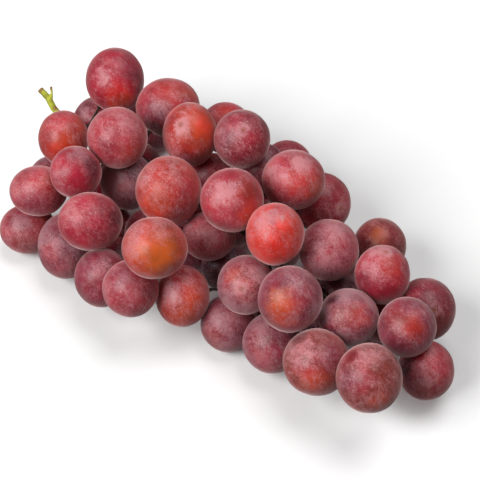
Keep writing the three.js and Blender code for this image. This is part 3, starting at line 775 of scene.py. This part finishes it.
def fitted_oval(points):
    """The oval that most points lie on: its middle, and the matrix that stretches a unit ball into it."""
    middle = (points.min(axis=0) + points.max(axis=0)) / 2
    size = np.ptp(points, axis=0).max() / 2
    local = (points - middle) / size
    x, y, z = local.T
    terms = np.stack([x * x, y * y, z * z, 2 * x * y, 2 * x * z, 2 * y * z, 2 * x, 2 * y, 2 * z], axis=1)
    kept = np.ones(len(local), bool)
    for tolerance in FIT_TOLERANCES:
        xx, yy, zz, xy, xz, yz, *slope = np.linalg.lstsq(terms[kept], np.ones(kept.sum()), rcond=None)[0]
        form = np.array([[xx, xy, xz], [xy, yy, yz], [xz, yz, zz]])
        centre = -np.linalg.solve(form, slope)
        form /= 1 + centre @ form @ centre
        offset = local - centre
        reached = np.sqrt(np.einsum("ij,jk,ik->i", offset, form, offset))
        kept = np.abs(reached - 1) < tolerance
    powers, axes = np.linalg.eigh(form)
    stretch = axes @ np.diag(size / FACET_ALLOWANCE / np.sqrt(powers)) @ axes.T
    return middle + size * centre, stretch


# A scar that isn't seen strays this much from the place opposite the stem, leans towards the tip of the bunch
# and down, and turns this much away from the photograph. Its random draws start from the seed.
SCAR_STRAY = 0.2
SCAR_LEAN = (0.35, 0, -0.2)
SCAR_HIDING = 0.3
SCAR_SEED = 1000


class Grape:
    """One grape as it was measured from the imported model."""

    def __init__(self, node, number, stem_points):
        self.node = node
        self.look = node.removeprefix("grape_")
        self.number = number
        points = np.unique(np.round(corners_of(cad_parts[node].data), 7), axis=0)
        self.middle, self.stretch = fitted_oval(points)
        self.radius = np.cbrt(np.linalg.det(self.stretch))
        inner = np.linalg.solve(self.stretch, (stem_points - self.middle).T).T
        collar = inner[np.linalg.norm(inner, axis=1) < COLLAR_DEPTH_SHARE]
        if len(collar) == 0:
            raise RuntimeError(f"no stem reaches {node}")
        self.to_stem = unit(collar.mean(axis=0))
        to_eye = unit(np.array(VIEW_EYE) - self.middle)
        right = unit(np.cross(np.array(VIEW_UP), to_eye))
        self.face = np.array([right, np.cross(to_eye, right), to_eye])
        self.to_scar = self.scar_direction()
        self.presses = []

    def on_face(self, across, up):
        """The direction of a place on the face that the photograph shows, given as shares of the radius."""
        towards_eye = math.sqrt(max(0, 1 - across**2 - up**2))
        return across * self.face[0] + up * self.face[1] + towards_eye * self.face[2]

    def scar_direction(self):
        """The blossom end: where the photograph shows it, or else roughly opposite the stem."""
        if self.look in SEEN_SCARS:
            return self.on_face(*SEEN_SCARS[self.look])
        chance = random.Random(SCAR_SEED + self.number)
        strayed = np.array([chance.uniform(-SCAR_STRAY, SCAR_STRAY) for _ in range(3)])
        direction = unit(strayed - self.to_stem + np.array(SCAR_LEAN))
        towards_eye = direction @ self.face[2]
        return unit(direction - self.face[2] * max(0, towards_eye + SCAR_HIDING))

    def reach(self, direction):
        """How far the grape reaches from its middle towards a unit direction."""
        return 1 / np.linalg.norm(np.linalg.solve(self.stretch, direction))


def unit(vector):
    return vector / np.linalg.norm(vector)


# Two pressed grapes are kept this far apart, and grapes that pass each other this closely count as pressed.
PRESSED_GAP = 0.04 * MM
NEAR_MISS = 0.5 * MM
# No grape reaches another that is more of its own radii away than this.
NEIGHBOUR_RADII = 2.6


def measured_grapes():
    """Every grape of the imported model, with the planes that it presses against."""
    stem_points = np.unique(np.round(corners_of(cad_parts[STEM_NODE].data), 7), axis=0)
    grapes = [Grape(node, number, stem_points) for number, node in enumerate(GRAPE_NODES)]
    for grape in grapes:
        for other in grapes:
            offset = other.middle - grape.middle
            distance = np.linalg.norm(offset)
            if other is grape or distance > NEIGHBOUR_RADII * grape.radius:
                continue
            outward = offset / distance
            overlap = grape.reach(outward) + other.reach(outward) - distance
            if overlap > -NEAR_MISS:
                plane = grape.middle + outward * (grape.reach(outward) - overlap / 2 - PRESSED_GAP / 2)
                grape.presses.append((plane, outward))
        grape.presses.append((np.zeros(3), np.array([0, 0, -1.0])))
    return grapes


# A direction that no grape's stem has, from which the faces round a stem are counted.
SIDEWAYS = (0.31, 0.87, 0.39)


def ball_round(axis, sides, rings):
    """A unit ball whose poles lie on an axis: the directions of its corners, and its faces."""
    across = unit(np.cross(axis, SIDEWAYS))
    along = np.cross(axis, across)
    turns = np.arange(sides) * 2 * math.pi / sides
    round_axis = np.cos(turns)[:, None] * across + np.sin(turns)[:, None] * along
    corners = [axis[None, :]]
    for ring in range(1, rings):
        angle = math.pi * ring / rings
        corners.append(math.cos(angle) * axis + math.sin(angle) * round_axis)
    corners.append(-axis[None, :])
    faces = []
    last = 1 + (rings - 1) * sides
    for side in range(sides):
        after = (side + 1) % sides
        faces.append((0, 1 + side, 1 + after))
        for ring in range(rings - 2):
            start = 1 + ring * sides
            faces.append((start + side, start + sides + side, start + sides + after, start + after))
        faces.append((last - sides + side, last, last - sides + after))
    return np.concatenate(corners), faces


def interface_input(tree, name, kind, default=None):
    """Adds a named input to a Geometry Nodes tree."""
    socket = tree.interface.new_socket(name, in_out="INPUT", socket_type=kind)
    if default is not None:
        socket.default_value = default


def new_geometry_tree(name, inputs):
    """An empty Geometry Nodes tree with a geometry input and output and named inputs."""
    tree = bpy.data.node_groups.new(name, "GeometryNodeTree")
    tree.interface.new_socket("Geometry", in_out="INPUT", socket_type="NodeSocketGeometry")
    tree.interface.new_socket("Geometry", in_out="OUTPUT", socket_type="NodeSocketGeometry")
    for label, kind, default in inputs:
        interface_input(tree, label, kind, default)
    return tree, add_node(tree, "NodeGroupInput").outputs


def end_geometry_tree(tree, geometry, material):
    """Ends a tree: makes its instances real and gives them their material."""
    real = add_node(tree, "GeometryNodeRealizeInstances", {"Geometry": geometry})
    finished = add_node(tree, "GeometryNodeSetMaterial", {"Geometry": real.outputs[0], "Material": material})
    add_node(tree, "NodeGroupOutput", {"Geometry": finished.outputs[0]})


def grown_mesh(name, mesh, tree, values):
    """The plain mesh that a Geometry Nodes tree makes from a mesh, as a new object."""
    seed_object = bpy.data.objects.new(name, mesh)
    bpy.context.scene.collection.objects.link(seed_object)
    modifier = seed_object.modifiers.new("grown", "NODES")
    modifier.node_group = tree
    for item in tree.interface.items_tree:
        if item.item_type == "SOCKET" and item.in_out == "INPUT" and item.name in values:
            modifier[item.identifier] = values[item.name]
    evaluated = seed_object.evaluated_get(bpy.context.evaluated_depsgraph_get())
    grown = bpy.data.meshes.new_from_object(evaluated)
    seed_object.modifiers.clear()
    seed_object.data = grown
    bpy.data.meshes.remove(mesh)
    grown.name = name
    if not grown.polygons:
        raise RuntimeError(f"{name} came out empty")
    return seed_object


def falling_off(tree, distance, width, height):
    """A smooth hump: its height at distance 0, and almost nothing beyond twice its width."""
    share = add_node(tree, "ShaderNodeMath", {0: distance, 1: width}, operation="DIVIDE")
    square = add_node(
        tree, "ShaderNodeMath", {0: share.outputs[0], 1: share.outputs[0]}, operation="MULTIPLY"
    )
    negative = add_node(tree, "ShaderNodeMath", {0: square.outputs[0], 1: -1.0}, operation="MULTIPLY")
    hump = add_node(tree, "ShaderNodeMath", {0: negative.outputs[0]}, operation="EXPONENT")
    return add_node(tree, "ShaderNodeMath", {0: hump.outputs[0], 1: height}, operation="MULTIPLY").outputs[0]


def grape_form_tree():
    """Presses in the dimple and the small hollow at the blossom end, and makes the oval uneven."""
    tree, given = new_geometry_tree(
        "grape_form",
        [
            ("Dimple Depth", "NodeSocketFloat", 0.75 * MM),
            ("Dimple Radius", "NodeSocketFloat", 2.4 * MM),
            ("Blossom Hollow", "NodeSocketFloat", 0.3 * MM),
            ("Unevenness", "NodeSocketFloat", 0.2 * MM),
            ("Bump Width", "NodeSocketFloat", 9 * MM),
            ("Seed", "NodeSocketFloat", 0.0),
            ("Material", "NodeSocketMaterial", None),
        ],
    )
    outward = add_node(tree, "GeometryNodeInputNamedAttribute", {"Name": "outward"}, data_type="FLOAT_VECTOR")
    from_stem = add_node(tree, "GeometryNodeInputNamedAttribute", {"Name": "from_stem"}, data_type="FLOAT")
    from_scar = add_node(tree, "GeometryNodeInputNamedAttribute", {"Name": "from_scar"}, data_type="FLOAT")
    dimple = falling_off(tree, from_stem.outputs[0], given["Dimple Radius"], given["Dimple Depth"])
    lip_width = add_node(tree, "ShaderNodeMath", {0: given["Dimple Radius"], 1: 2.2}, operation="MULTIPLY")
    lip_height = add_node(tree, "ShaderNodeMath", {0: given["Dimple Depth"], 1: 0.22}, operation="MULTIPLY")
    lip = falling_off(tree, from_stem.outputs[0], lip_width.outputs[0], lip_height.outputs[0])
    hollow_width = add_node(tree, "ShaderNodeMath", {0: given["Dimple Radius"], 1: 0.6}, operation="MULTIPLY")
    hollow = falling_off(tree, from_scar.outputs[0], hollow_width.outputs[0], given["Blossom Hollow"])
    position = add_node(tree, "GeometryNodeInputPosition")
    spread = add_node(tree, "ShaderNodeMath", {0: 1.0, 1: given["Bump Width"]}, operation="DIVIDE")
    bumps = add_node(
        tree,
        "ShaderNodeTexNoise",
        {"Vector": position.outputs[0], "W": given["Seed"], "Scale": spread.outputs[0], "Detail": 1.5},
        noise_dimensions="4D",
    )
    swing = add_node(tree, "ShaderNodeMath", {0: bumps.outputs["Fac"], 1: 0.5}, operation="SUBTRACT")
    doubled = add_node(tree, "ShaderNodeMath", {0: swing.outputs[0], 1: 3.0}, operation="MULTIPLY")
    uneven = add_node(
        tree, "ShaderNodeMath", {0: doubled.outputs[0], 1: given["Unevenness"]}, operation="MULTIPLY"
    )
    pressed = add_node(tree, "ShaderNodeMath", {0: lip, 1: dimple}, operation="SUBTRACT")
    hollowed = add_node(tree, "ShaderNodeMath", {0: pressed.outputs[0], 1: hollow}, operation="SUBTRACT")
    height = add_node(tree, "ShaderNodeMath", {0: hollowed.outputs[0], 1: uneven.outputs[0]}, operation="ADD")
    offset = add_node(
        tree, "ShaderNodeVectorMath", {0: outward.outputs[0], "Scale": height.outputs[0]}, operation="SCALE"
    )
    moved = add_node(
        tree, "GeometryNodeSetPosition", {"Geometry": given["Geometry"], "Offset": offset.outputs[0]}
    )
    smooth = add_node(tree, "GeometryNodeSetShadeSmooth", {"Geometry": moved.outputs[0]})
    end_geometry_tree(tree, smooth.outputs[0], given["Material"])
    return tree


# The bloom is rubbed off this far round a pressed place.
RUBBED_WIDTH = 0.9 * MM


def pressed_flat(places, presses, softness):
    """Flattens a grape softly where it goes past its planes, and says how near to them each place is."""
    nearness = np.zeros(len(places))
    for plane, outward in presses:
        past = (places - plane) @ outward
        pushed = softness * np.logaddexp(0, past / softness)
        places = places - pushed[:, None] * outward
        nearness = np.maximum(nearness, np.exp(np.minimum(past, 0) / RUBBED_WIDTH))
    return places, nearness


# How sharply a patch of skin ends: 2 is a soft fade, and more is a crisper edge.
PATCH_CRISPNESS = 3.2
# The ragged edges of patches: how far they stray, as shares of the radius, and over what width.
COARSE_RAGS = (0.2, 4.5 * MM)
FINE_RAGS = (0.12, 2.6 * MM)
# Patches at random: how far they stay off the side that is seen, their least and greatest size as shares of
# the radius, and how strong a patch of a tone or of frost is.
PATCH_HIDING = 0.6
PATCH_SIZES = (0.4, 0.7)
TONE_STRENGTH = 0.7
FROST_STRENGTH = 0.35
# The random draws for a grape's look start from this number, so that every run gives the same bunch.
LOOK_SEED = 2000


def skin_looks(grape, directions, places):
    """The skin's colour at each place, how much bloom lies there, and how dusky it is.

    The grape has one main tone and one level of bloom, with patches of other tones, of thick bloom and of
    skin rubbed bare; on the side that is seen, some of them are painted shade, painted highlights and a
    painted glow of light through the flesh. The side that the photograph doesn't show gets four patches at
    random.
    """
    chance = random.Random(LOOK_SEED + grape.number)
    tone, level, patches = GRAPE_LOOKS.get(
        grape.look, (chance.choice(UNSEEN_TONES), chance.uniform(0.4, 0.6), [])
    )
    patches = [
        (name, grape.on_face(across, up), size, strength) for name, across, up, size, strength in patches
    ]
    unseen = [chance.choice(UNSEEN_TONES) for _ in range(3)]
    for name in (*unseen, FROST_AND_HIGHLIGHT):
        direction = unit(np.array([chance.gauss(0, 1) for _ in range(3)]))
        if grape.look in GRAPE_LOOKS:
            direction -= grape.face[2] * (PATCH_HIDING + max(0, direction @ grape.face[2]))
        strength = FROST_STRENGTH if name == FROST_AND_HIGHLIGHT else TONE_STRENGTH
        patches.append((name, unit(direction), chance.uniform(*PATCH_SIZES), strength))
    colours = np.tile(np.array(linear(SKIN_TONES[tone])), (len(directions), 1))
    dusky = np.full(len(directions), float(tone in DUSKY_TONES))
    bloom = np.full(len(directions), level)
    edge = COARSE_RAGS[0] * noise_at(places, COARSE_RAGS[1], Vector((grape.number, 3, 7)))
    edge += FINE_RAGS[0] * noise_at(places, FINE_RAGS[1], Vector((7, grape.number, 3)))
    for name, direction, size, strength in patches:
        distance = np.linalg.norm(directions - direction, axis=1) + edge
        share = strength * np.exp(-(np.abs(distance / size) ** PATCH_CRISPNESS))
        # Pale patches add to the bloom here, including the ones that are painted highlights.
        if name == FROST_AND_HIGHLIGHT:
            bloom += share
            continue
        colours += share[:, None] * (np.array(linear(SKIN_TONES[name])) - colours)
        dusky *= 1 - share
        dusky += share * (name in DUSKY_TONES)
    return colours, bloom, dusky


# How much the bloom changes from place to place, by the stem, round the scar and where grapes rub.
UNEVEN_BLOOM = 0.16
UNEVEN_WIDTH = 9 * MM
STEM_BLOOM = 0.15
STEM_BLOOM_SHARE = 0.5
HALO_BLOOM = 0.55
HALO_RADIUS = 2 * MM
HALO_WIDTH = 1.4 * MM
RUBBED_BLOOM = -0.3
MOST_BLOOM = 1.3


def bloom_cover(grape, level, directions, places, nearness):
    """How thick the wax bloom is: uneven, thin where grapes rub, thicker by the stem and round the scar."""
    uneven = UNEVEN_BLOOM * noise_at(places, UNEVEN_WIDTH, Vector((5, grape.number, 1)))
    from_stem = np.linalg.norm(directions - grape.to_stem, axis=1)
    by_stem = STEM_BLOOM * fading(from_stem, STEM_BLOOM_SHARE)
    from_scar = np.linalg.norm(directions - grape.to_scar, axis=1) * grape.radius
    halo = HALO_BLOOM * fading(from_scar - HALO_RADIUS, HALO_WIDTH)
    return np.clip(level + uneven + by_stem + halo + RUBBED_BLOOM * nearness, 0, MOST_BLOOM)


def settled(piece, slot, *nodes):
    """Makes a finished piece part of the bunch."""
    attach(piece, BODY)
    if nodes:
        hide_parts(*nodes)
    return piece


class BuildSkins(bpy.types.Operator):
    """Build the fine skin of every grape"""

    bl_idname = "grapes.build_skins"
    bl_label = "Grape Skins"

    def execute(self, context):
        settings = context.scene.grape_settings
        material = grape_skin_material(settings)
        tree = grape_form_tree()
        for grape in measured_grapes():
            directions, faces = ball_round(grape.to_stem, settings.sides, settings.rings)
            mesh = bpy.data.meshes.new(grape.node)
            mesh.from_pydata((directions @ grape.stretch + grape.middle).tolist(), [], faces)
            put_attribute(mesh, "outward", "FLOAT_VECTOR", directions)
            from_stem = np.linalg.norm(directions - grape.to_stem, axis=1) * grape.radius
            put_attribute(mesh, "from_stem", "FLOAT", from_stem)
            from_scar = np.linalg.norm(directions - grape.to_scar, axis=1) * grape.radius
            put_attribute(mesh, "from_scar", "FLOAT", from_scar)
            piece = grown_mesh(
                f"{grape.node}_skin",
                mesh,
                tree,
                {
                    "Dimple Depth": settings.dimple_depth,
                    "Dimple Radius": settings.dimple_radius,
                    "Unevenness": settings.unevenness,
                    "Seed": float(grape.number),
                    "Material": material,
                },
            )
            places, nearness = pressed_flat(corners_of(piece.data), grape.presses, settings.softness)
            place_corners(piece.data, places)
            colours, level, dusky = skin_looks(grape, directions, places)
            put_attribute(piece.data, "skin_colour", "FLOAT_COLOR", colours)
            bloom = bloom_cover(grape, level, directions, places, nearness)
            put_attribute(piece.data, "bloom", "FLOAT", bloom)
            put_attribute(piece.data, "chalk", "FLOAT", dusky)
            settled(piece, "grape_skin", grape.node)
        return {"FINISHED"}


# A scar is sunk this far into the skin, so that it doesn't hover over an uneven place.
SCAR_SINK = 0.04 * MM


def scar_tree():
    """Puts a small corky ring with a grain in its middle on every point, facing outwards."""
    tree, given = new_geometry_tree(
        "blossom_scars",
        [
            ("Radius", "NodeSocketFloat", 0.7 * MM),
            ("Seed", "NodeSocketInt", 3),
            ("Material", "NodeSocketMaterial", None),
        ],
    )
    line = add_node(tree, "GeometryNodeCurvePrimitiveCircle", {"Resolution": 16, "Radius": 0.8})
    section = add_node(tree, "GeometryNodeCurvePrimitiveCircle", {"Resolution": 6, "Radius": 0.2})
    ring = add_node(
        tree, "GeometryNodeCurveToMesh", {"Curve": line.outputs[0], "Profile Curve": section.outputs[0]}
    )
    grain = add_node(tree, "GeometryNodeMeshUVSphere", {"Segments": 10, "Rings": 6, "Radius": 0.3})
    buttons = add_node(tree, "GeometryNodeJoinGeometry", {0: ring.outputs[0]})
    tree.links.new(grain.outputs[0], buttons.inputs[0])
    smooth = add_node(tree, "GeometryNodeSetShadeSmooth", {"Geometry": buttons.outputs[0]})
    outward = add_node(tree, "GeometryNodeInputNamedAttribute", {"Name": "outward"}, data_type="FLOAT_VECTOR")
    turned = add_node(tree, "FunctionNodeAlignRotationToVector", {"Vector": outward.outputs[0]}, axis="Z")
    size = add_node(
        tree,
        "FunctionNodeRandomValue",
        {"Min": 0.75, "Max": 1.2, "Seed": given["Seed"]},
        data_type="FLOAT",
    )
    scaled = add_node(tree, "ShaderNodeMath", {0: given["Radius"], 1: size.outputs[1]}, operation="MULTIPLY")
    placed = add_node(
        tree,
        "GeometryNodeInstanceOnPoints",
        {
            "Points": given["Geometry"],
            "Instance": smooth.outputs[0],
            "Rotation": turned.outputs[0],
            "Scale": scaled.outputs[0],
        },
    )
    end_geometry_tree(tree, placed.outputs[0], given["Material"])
    return tree


class BuildScars(bpy.types.Operator):
    """Build the small corky scar at the blossom end of every grape"""

    bl_idname = "grapes.build_scars"
    bl_label = "Blossom Scars"

    def execute(self, context):
        settings = context.scene.grape_settings
        places = []
        outwards = []
        for grape in measured_grapes():
            skin = bpy.data.objects[f"{grape.node}_skin"]
            aim = Vector(grape.to_scar @ grape.stretch + grape.middle)
            found, place, outward, _ = skin.closest_point_on_mesh(aim)
            if not found:
                raise RuntimeError(f"{grape.node} has no skin to carry its scar")
            places.append(place - outward * SCAR_SINK)
            outwards.append(outward)
        points = bpy.data.meshes.new("scar_points")
        points.from_pydata(places, [], [])
        put_attribute(points, "outward", "FLOAT_VECTOR", np.array(outwards))
        piece = grown_mesh(
            "blossom_scars",
            points,
            scar_tree(),
            {"Radius": settings.scar_radius, "Material": scar_material(settings)},
        )
        settled(piece, "grape_skin")
        return {"FINISHED"}


def merged_copy(node):
    """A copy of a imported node's mesh whose loose triangles are joined."""
    shape = bmesh.new()
    shape.from_mesh(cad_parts[node].data)
    bmesh.ops.remove_doubles(shape, verts=shape.verts, dist=0.002 * MM)
    return shape


# The swollen disc at the end of a short stem, and how far out it lies as a share of the grape's radius.
DISC_RADIUS = 1.55 * MM
DISC_HALF_THICKNESS = 0.5 * MM
DISC_SHARE = 0.955


def receptacle(shape, grape):
    """Adds the swollen disc in which a short stem ends inside the grape's dimple."""
    outward = unit(grape.to_stem @ grape.stretch)
    middle = grape.middle + grape.to_stem @ grape.stretch * DISC_SHARE
    turn = Vector(outward).to_track_quat("Z", "Y").to_matrix().to_4x4()
    size = Matrix.Diagonal((DISC_RADIUS, DISC_RADIUS, DISC_HALF_THICKNESS, 1))
    bmesh.ops.create_icosphere(
        shape, subdivisions=2, radius=1, matrix=Matrix.Translation(Vector(middle)) @ turn @ size
    )


def distance_to_line(places, start, end):
    """How far places are from the straight line between two points."""
    start, end = np.array(start), np.array(end)
    line = end - start
    share = np.clip((places - start) @ line / (line @ line), 0, 1)
    return np.linalg.norm(places - start - share[:, None] * line, axis=1)


# The grain of the bark, the frayed cut end, how far round the bare stalk its green is full and where it ends
# (beyond that the stem is painted dark brown as shade), how blotchy it is, and how far the dried ends and
# the bruise reach.
BARK_WIDTH = 1.6 * MM
FRAY_WIDTH = 0.8 * MM
FRAY_DEPTH = 0.45 * MM
FRAYED_LENGTH = 2 * MM
FULL_GREEN = 3 * MM
LAST_GREEN = 8 * MM
GREEN_BLOTCHES = 0.35
DRIED_CUT = 2.2 * MM
DRIED_TIP = 1.7 * MM
BRUISE_WIDTH = 1.6 * MM
BRUISE_STRENGTH = 0.75


class BuildStem(bpy.types.Operator):
    """Build the rounded, roughened branching stem"""

    bl_idname = "grapes.build_stem"
    bl_label = "Stem"

    def execute(self, context):
        settings = context.scene.stem_settings
        shape = merged_copy(STEM_NODE)
        for grape in measured_grapes():
            receptacle(shape, grape)
        mesh = bpy.data.meshes.new("stem_rounding")
        shape.to_mesh(mesh)
        shape.free()
        piece = bpy.data.objects.new("stem_bark", mesh)
        context.scene.collection.objects.link(piece)
        rounding = piece.modifiers.new("rounding", "REMESH")
        rounding.mode = "VOXEL"
        rounding.voxel_size = settings.voxel
        smoothing = piece.modifiers.new("smoothing", "SMOOTH")
        smoothing.iterations = settings.smoothing
        evaluated = piece.evaluated_get(context.evaluated_depsgraph_get())
        rounded = bpy.data.meshes.new_from_object(evaluated)
        piece.modifiers.clear()
        piece.data = rounded
        bpy.data.meshes.remove(mesh)
        rounded.name = "stem_bark"
        rounded.shade_smooth()
        self.roughen(rounded, settings)
        rounded.materials.append(stem_material(settings))
        settled(piece, "stem", STEM_NODE)
        return {"FINISHED"}

    def roughen(self, mesh, settings):
        """Gives the bark its relief, says how far it is lit green before the painted shade inside the bunch,
        and where it has dried.
        """
        places = corners_of(mesh)
        outward = np.empty(len(places) * 3)
        mesh.vertices.foreach_get("normal", outward)
        outward = outward.reshape(-1, 3)
        bark = noise_at(places, BARK_WIDTH, Vector((2, 4, 6)))
        fray = noise_at(places, FRAY_WIDTH, Vector((9, 1, 5)))
        from_cut, from_tip, from_bruise = (
            np.linalg.norm(places - np.array(spot), axis=1) for spot in (STALK_CUT, SHOOT_TIP, STALK_BRUISE)
        )
        frayed = FRAY_DEPTH * fading(from_cut, FRAYED_LENGTH)
        height = settings.swelling + settings.bark_depth * bark + frayed * fray
        place_corners(mesh, places + outward * height[:, None])
        bare = ((STALK_CUT, STALK_FORK), (STALK_FORK, STALK_FOOT), (STALK_FORK, SHOOT_TIP))
        from_stalk = np.min([distance_to_line(places, start, end) for start, end in bare], axis=0)
        # Away from the bare stalk the green gives way to the dark brown painted shade inside the bunch.
        green = np.clip((LAST_GREEN - from_stalk) / (LAST_GREEN - FULL_GREEN), 0, 1)
        unshaded = green * (1 + GREEN_BLOTCHES * bark)
        bruised = BRUISE_STRENGTH * fading(from_bruise, BRUISE_WIDTH)
        dried = np.max([fading(from_cut, DRIED_CUT), fading(from_tip, DRIED_TIP), bruised], axis=0)
        put_attribute(mesh, "unshaded", "FLOAT", np.clip(unshaded, 0, 1))
        put_attribute(mesh, "dried", "FLOAT", dried)


def lenticel_tree():
    """Scatters small corky specks over the bark, each a flattened grain lying on the surface."""
    tree, given = new_geometry_tree(
        "lenticels",
        [
            ("Density", "NodeSocketFloat", 60000.0),
            ("Radius", "NodeSocketFloat", 0.2 * MM),
            ("Seed", "NodeSocketInt", 11),
            ("Material", "NodeSocketMaterial", None),
        ],
    )
    scattered = add_node(
        tree,
        "GeometryNodeDistributePointsOnFaces",
        {"Mesh": given["Geometry"], "Density": given["Density"], "Seed": given["Seed"]},
    )
    grain = add_node(tree, "GeometryNodeMeshIcoSphere", {"Radius": 1.0, "Subdivisions": 1})
    size = add_node(
        tree,
        "FunctionNodeRandomValue",
        {0: (0.6, 0.9, 0.25), 1: (1.1, 1.9, 0.5), "Seed": given["Seed"]},
        data_type="FLOAT_VECTOR",
    )
    scaled = add_node(
        tree, "ShaderNodeVectorMath", {0: size.outputs[0], "Scale": given["Radius"]}, operation="SCALE"
    )
    placed = add_node(
        tree,
        "GeometryNodeInstanceOnPoints",
        {
            "Points": scattered.outputs["Points"],
            "Instance": grain.outputs[0],
            "Rotation": scattered.outputs["Rotation"],
            "Scale": scaled.outputs[0],
        },
    )
    end_geometry_tree(tree, placed.outputs[0], given["Material"])
    return tree


class BuildLenticels(bpy.types.Operator):
    """Build the corky specks on the stem"""

    bl_idname = "grapes.build_lenticels"
    bl_label = "Lenticels"

    def execute(self, context):
        settings = context.scene.stem_settings
        piece = grown_mesh(
            "stem_lenticels",
            bpy.data.objects["stem_bark"].data.copy(),
            lenticel_tree(),
            {
                "Density": settings.lenticel_density,
                "Radius": settings.lenticel_radius,
                "Material": scar_material(context.scene.grape_settings),
            },
        )
        settled(piece, "stem")
        return {"FINISHED"}


# The main light stands to the left of the camera and a little above it, and the other hangs over the bunch.
KEY_LIGHT_ABOVE = 0.15
KEY_LIGHT_LEFT = 0.85
KEY_LIGHT_DISTANCE = 2.1
TOP_LIGHT_OFFSET = Vector((0.2, 0.6, 2.0))
# The floor lies this much under the grapes, so that their flat spots don't flicker through it.
FLOOR_DEPTH = 0.02 * MM


class BuildStage(bpy.types.Operator):
    """Build the pale floor, the soft light and the camera"""

    bl_idname = "grapes.build_stage"
    bl_label = "Stage"

    def execute(self, context):
        settings = context.scene.stage_settings
        self.floor(context, settings)
        self.light(context, settings)
        self.camera(context)
        context.scene.view_settings.view_transform = "Standard"
        return {"FINISHED"}

    def floor(self, context, settings):
        material, tree, shader = new_material(
            "pale_studio_floor", {"Specular IOR Level": 0.2, "Roughness": 0.9}
        )
        # Painted board: a barely visible unevenness of tone, 60 mm wide.
        place = add_node(tree, "ShaderNodeTexCoord").outputs["Object"]
        tone = add_node(tree, "ShaderNodeTexNoise", {"Vector": place, "Scale": 1 / (60 * MM)})
        shade = add_node(
            tree, "ShaderNodeMapRange", {"Value": tone.outputs["Fac"], "To Min": 0.99, "To Max": 1.0}
        )
        colour = add_node(
            tree,
            "ShaderNodeVectorMath",
            {0: settings.floor_colour[:3], 1: shade.outputs["Result"]},
            operation="MULTIPLY",
        )
        tree.links.new(colour.outputs["Vector"], shader.inputs["Base Color"])
        half = settings.floor_size / 2
        mesh = bpy.data.meshes.new("floor")
        outline = ((-half, -half), (half, -half), (half, half), (-half, half))
        corners = [(x, y, -FLOOR_DEPTH) for x, y in outline]
        mesh.from_pydata(corners, [], [(0, 1, 2, 3)])
        mesh.materials.append(material)
        floor = bpy.data.objects.new("floor", mesh)
        context.scene.collection.objects.link(floor)
        # The photograph's grapes get no light from below, so the floor gives none.
        floor.visible_diffuse = False
        floor.visible_glossy = False

    def light(self, context, settings):
        world = bpy.data.worlds.new("even_light")
        world.use_nodes = True
        background = world.node_tree.nodes["Background"]
        background.inputs["Color"].default_value = (1, 1, 1, 1)
        background.inputs["Strength"].default_value = settings.sky_strength
        context.scene.world = world
        toward_key = (VIEW_BACK + VIEW_UP * KEY_LIGHT_ABOVE - VIEW_RIGHT * KEY_LIGHT_LEFT).normalized()
        key_offset = toward_key * KEY_LIGHT_DISTANCE
        self.softbox(context, "key_light", key_offset, settings.key_size, settings.key_power)
        self.softbox(context, "top_light", TOP_LIGHT_OFFSET, settings.top_size, settings.top_power)

    def softbox(self, context, name, offset, size, power):
        """Hangs a square soft light at an offset from the bunch, and points it there."""
        lamp = bpy.data.lights.new(name, "AREA")
        lamp.shape = "SQUARE"
        lamp.size = size
        lamp.energy = power
        light = bpy.data.objects.new(name, lamp)
        light.location = VIEW_AIM + offset
        light.rotation_euler = offset.to_track_quat("Z", "Y").to_euler()
        context.scene.collection.objects.link(light)

    def camera(self, context):
        lens = bpy.data.cameras.new("camera")
        picture_width = PICTURE_PIXELS * VIEW_METRES_PER_PIXEL
        lens.sensor_width = SENSOR_WIDTH_MM
        lens.lens = SENSOR_WIDTH_MM * VIEW_DISTANCE / picture_width
        lens.shift_x = (PICTURE_PIXELS / 2 - VIEW_AIM_PIXEL[0]) / PICTURE_PIXELS
        lens.shift_y = (VIEW_AIM_PIXEL[1] - PICTURE_PIXELS / 2) / PICTURE_PIXELS
        lens.clip_start = 0.01
        camera = bpy.data.objects.new("camera", lens)
        camera.location = VIEW_EYE
        camera.rotation_euler = VIEW_BACK.to_track_quat("Z", "Y").to_euler()
        context.scene.collection.objects.link(camera)
        context.scene.camera = camera


class GrapesPanel(bpy.types.Panel):
    """Lists the parts of the bunch in the order in which they are built"""

    bl_idname = "GRAPES_PT_build"
    bl_label = "Bunch of Grapes"
    bl_space_type = "VIEW_3D"
    bl_region_type = "UI"
    bl_category = "Grapes"

    def draw(self, context):
        for operator in OPERATORS:
            self.layout.operator(operator.bl_idname)


SETTINGS = {"grape_settings": GrapeSettings, "stem_settings": StemSettings, "stage_settings": StageSettings}
OPERATORS = (BuildSkins, BuildScars, BuildStem, BuildLenticels, BuildStage)


def register():
    for name, group in SETTINGS.items():
        bpy.utils.register_class(group)
        setattr(bpy.types.Scene, name, bpy.props.PointerProperty(type=group))
    for operator in OPERATORS:
        bpy.utils.register_class(operator)
    bpy.utils.register_class(GrapesPanel)


def unregister():
    bpy.utils.unregister_class(GrapesPanel)
    for operator in reversed(OPERATORS):
        bpy.utils.unregister_class(operator)
    for name, group in SETTINGS.items():
        delattr(bpy.types.Scene, name)
        bpy.utils.unregister_class(group)


def main():
    register()
    bpy.ops.grapes.build_skins()
    bpy.ops.grapes.build_scars()
    bpy.ops.grapes.build_stem()
    bpy.ops.grapes.build_lenticels()
    bpy.ops.grapes.build_stage()


if __name__ == "__main__":
    main()
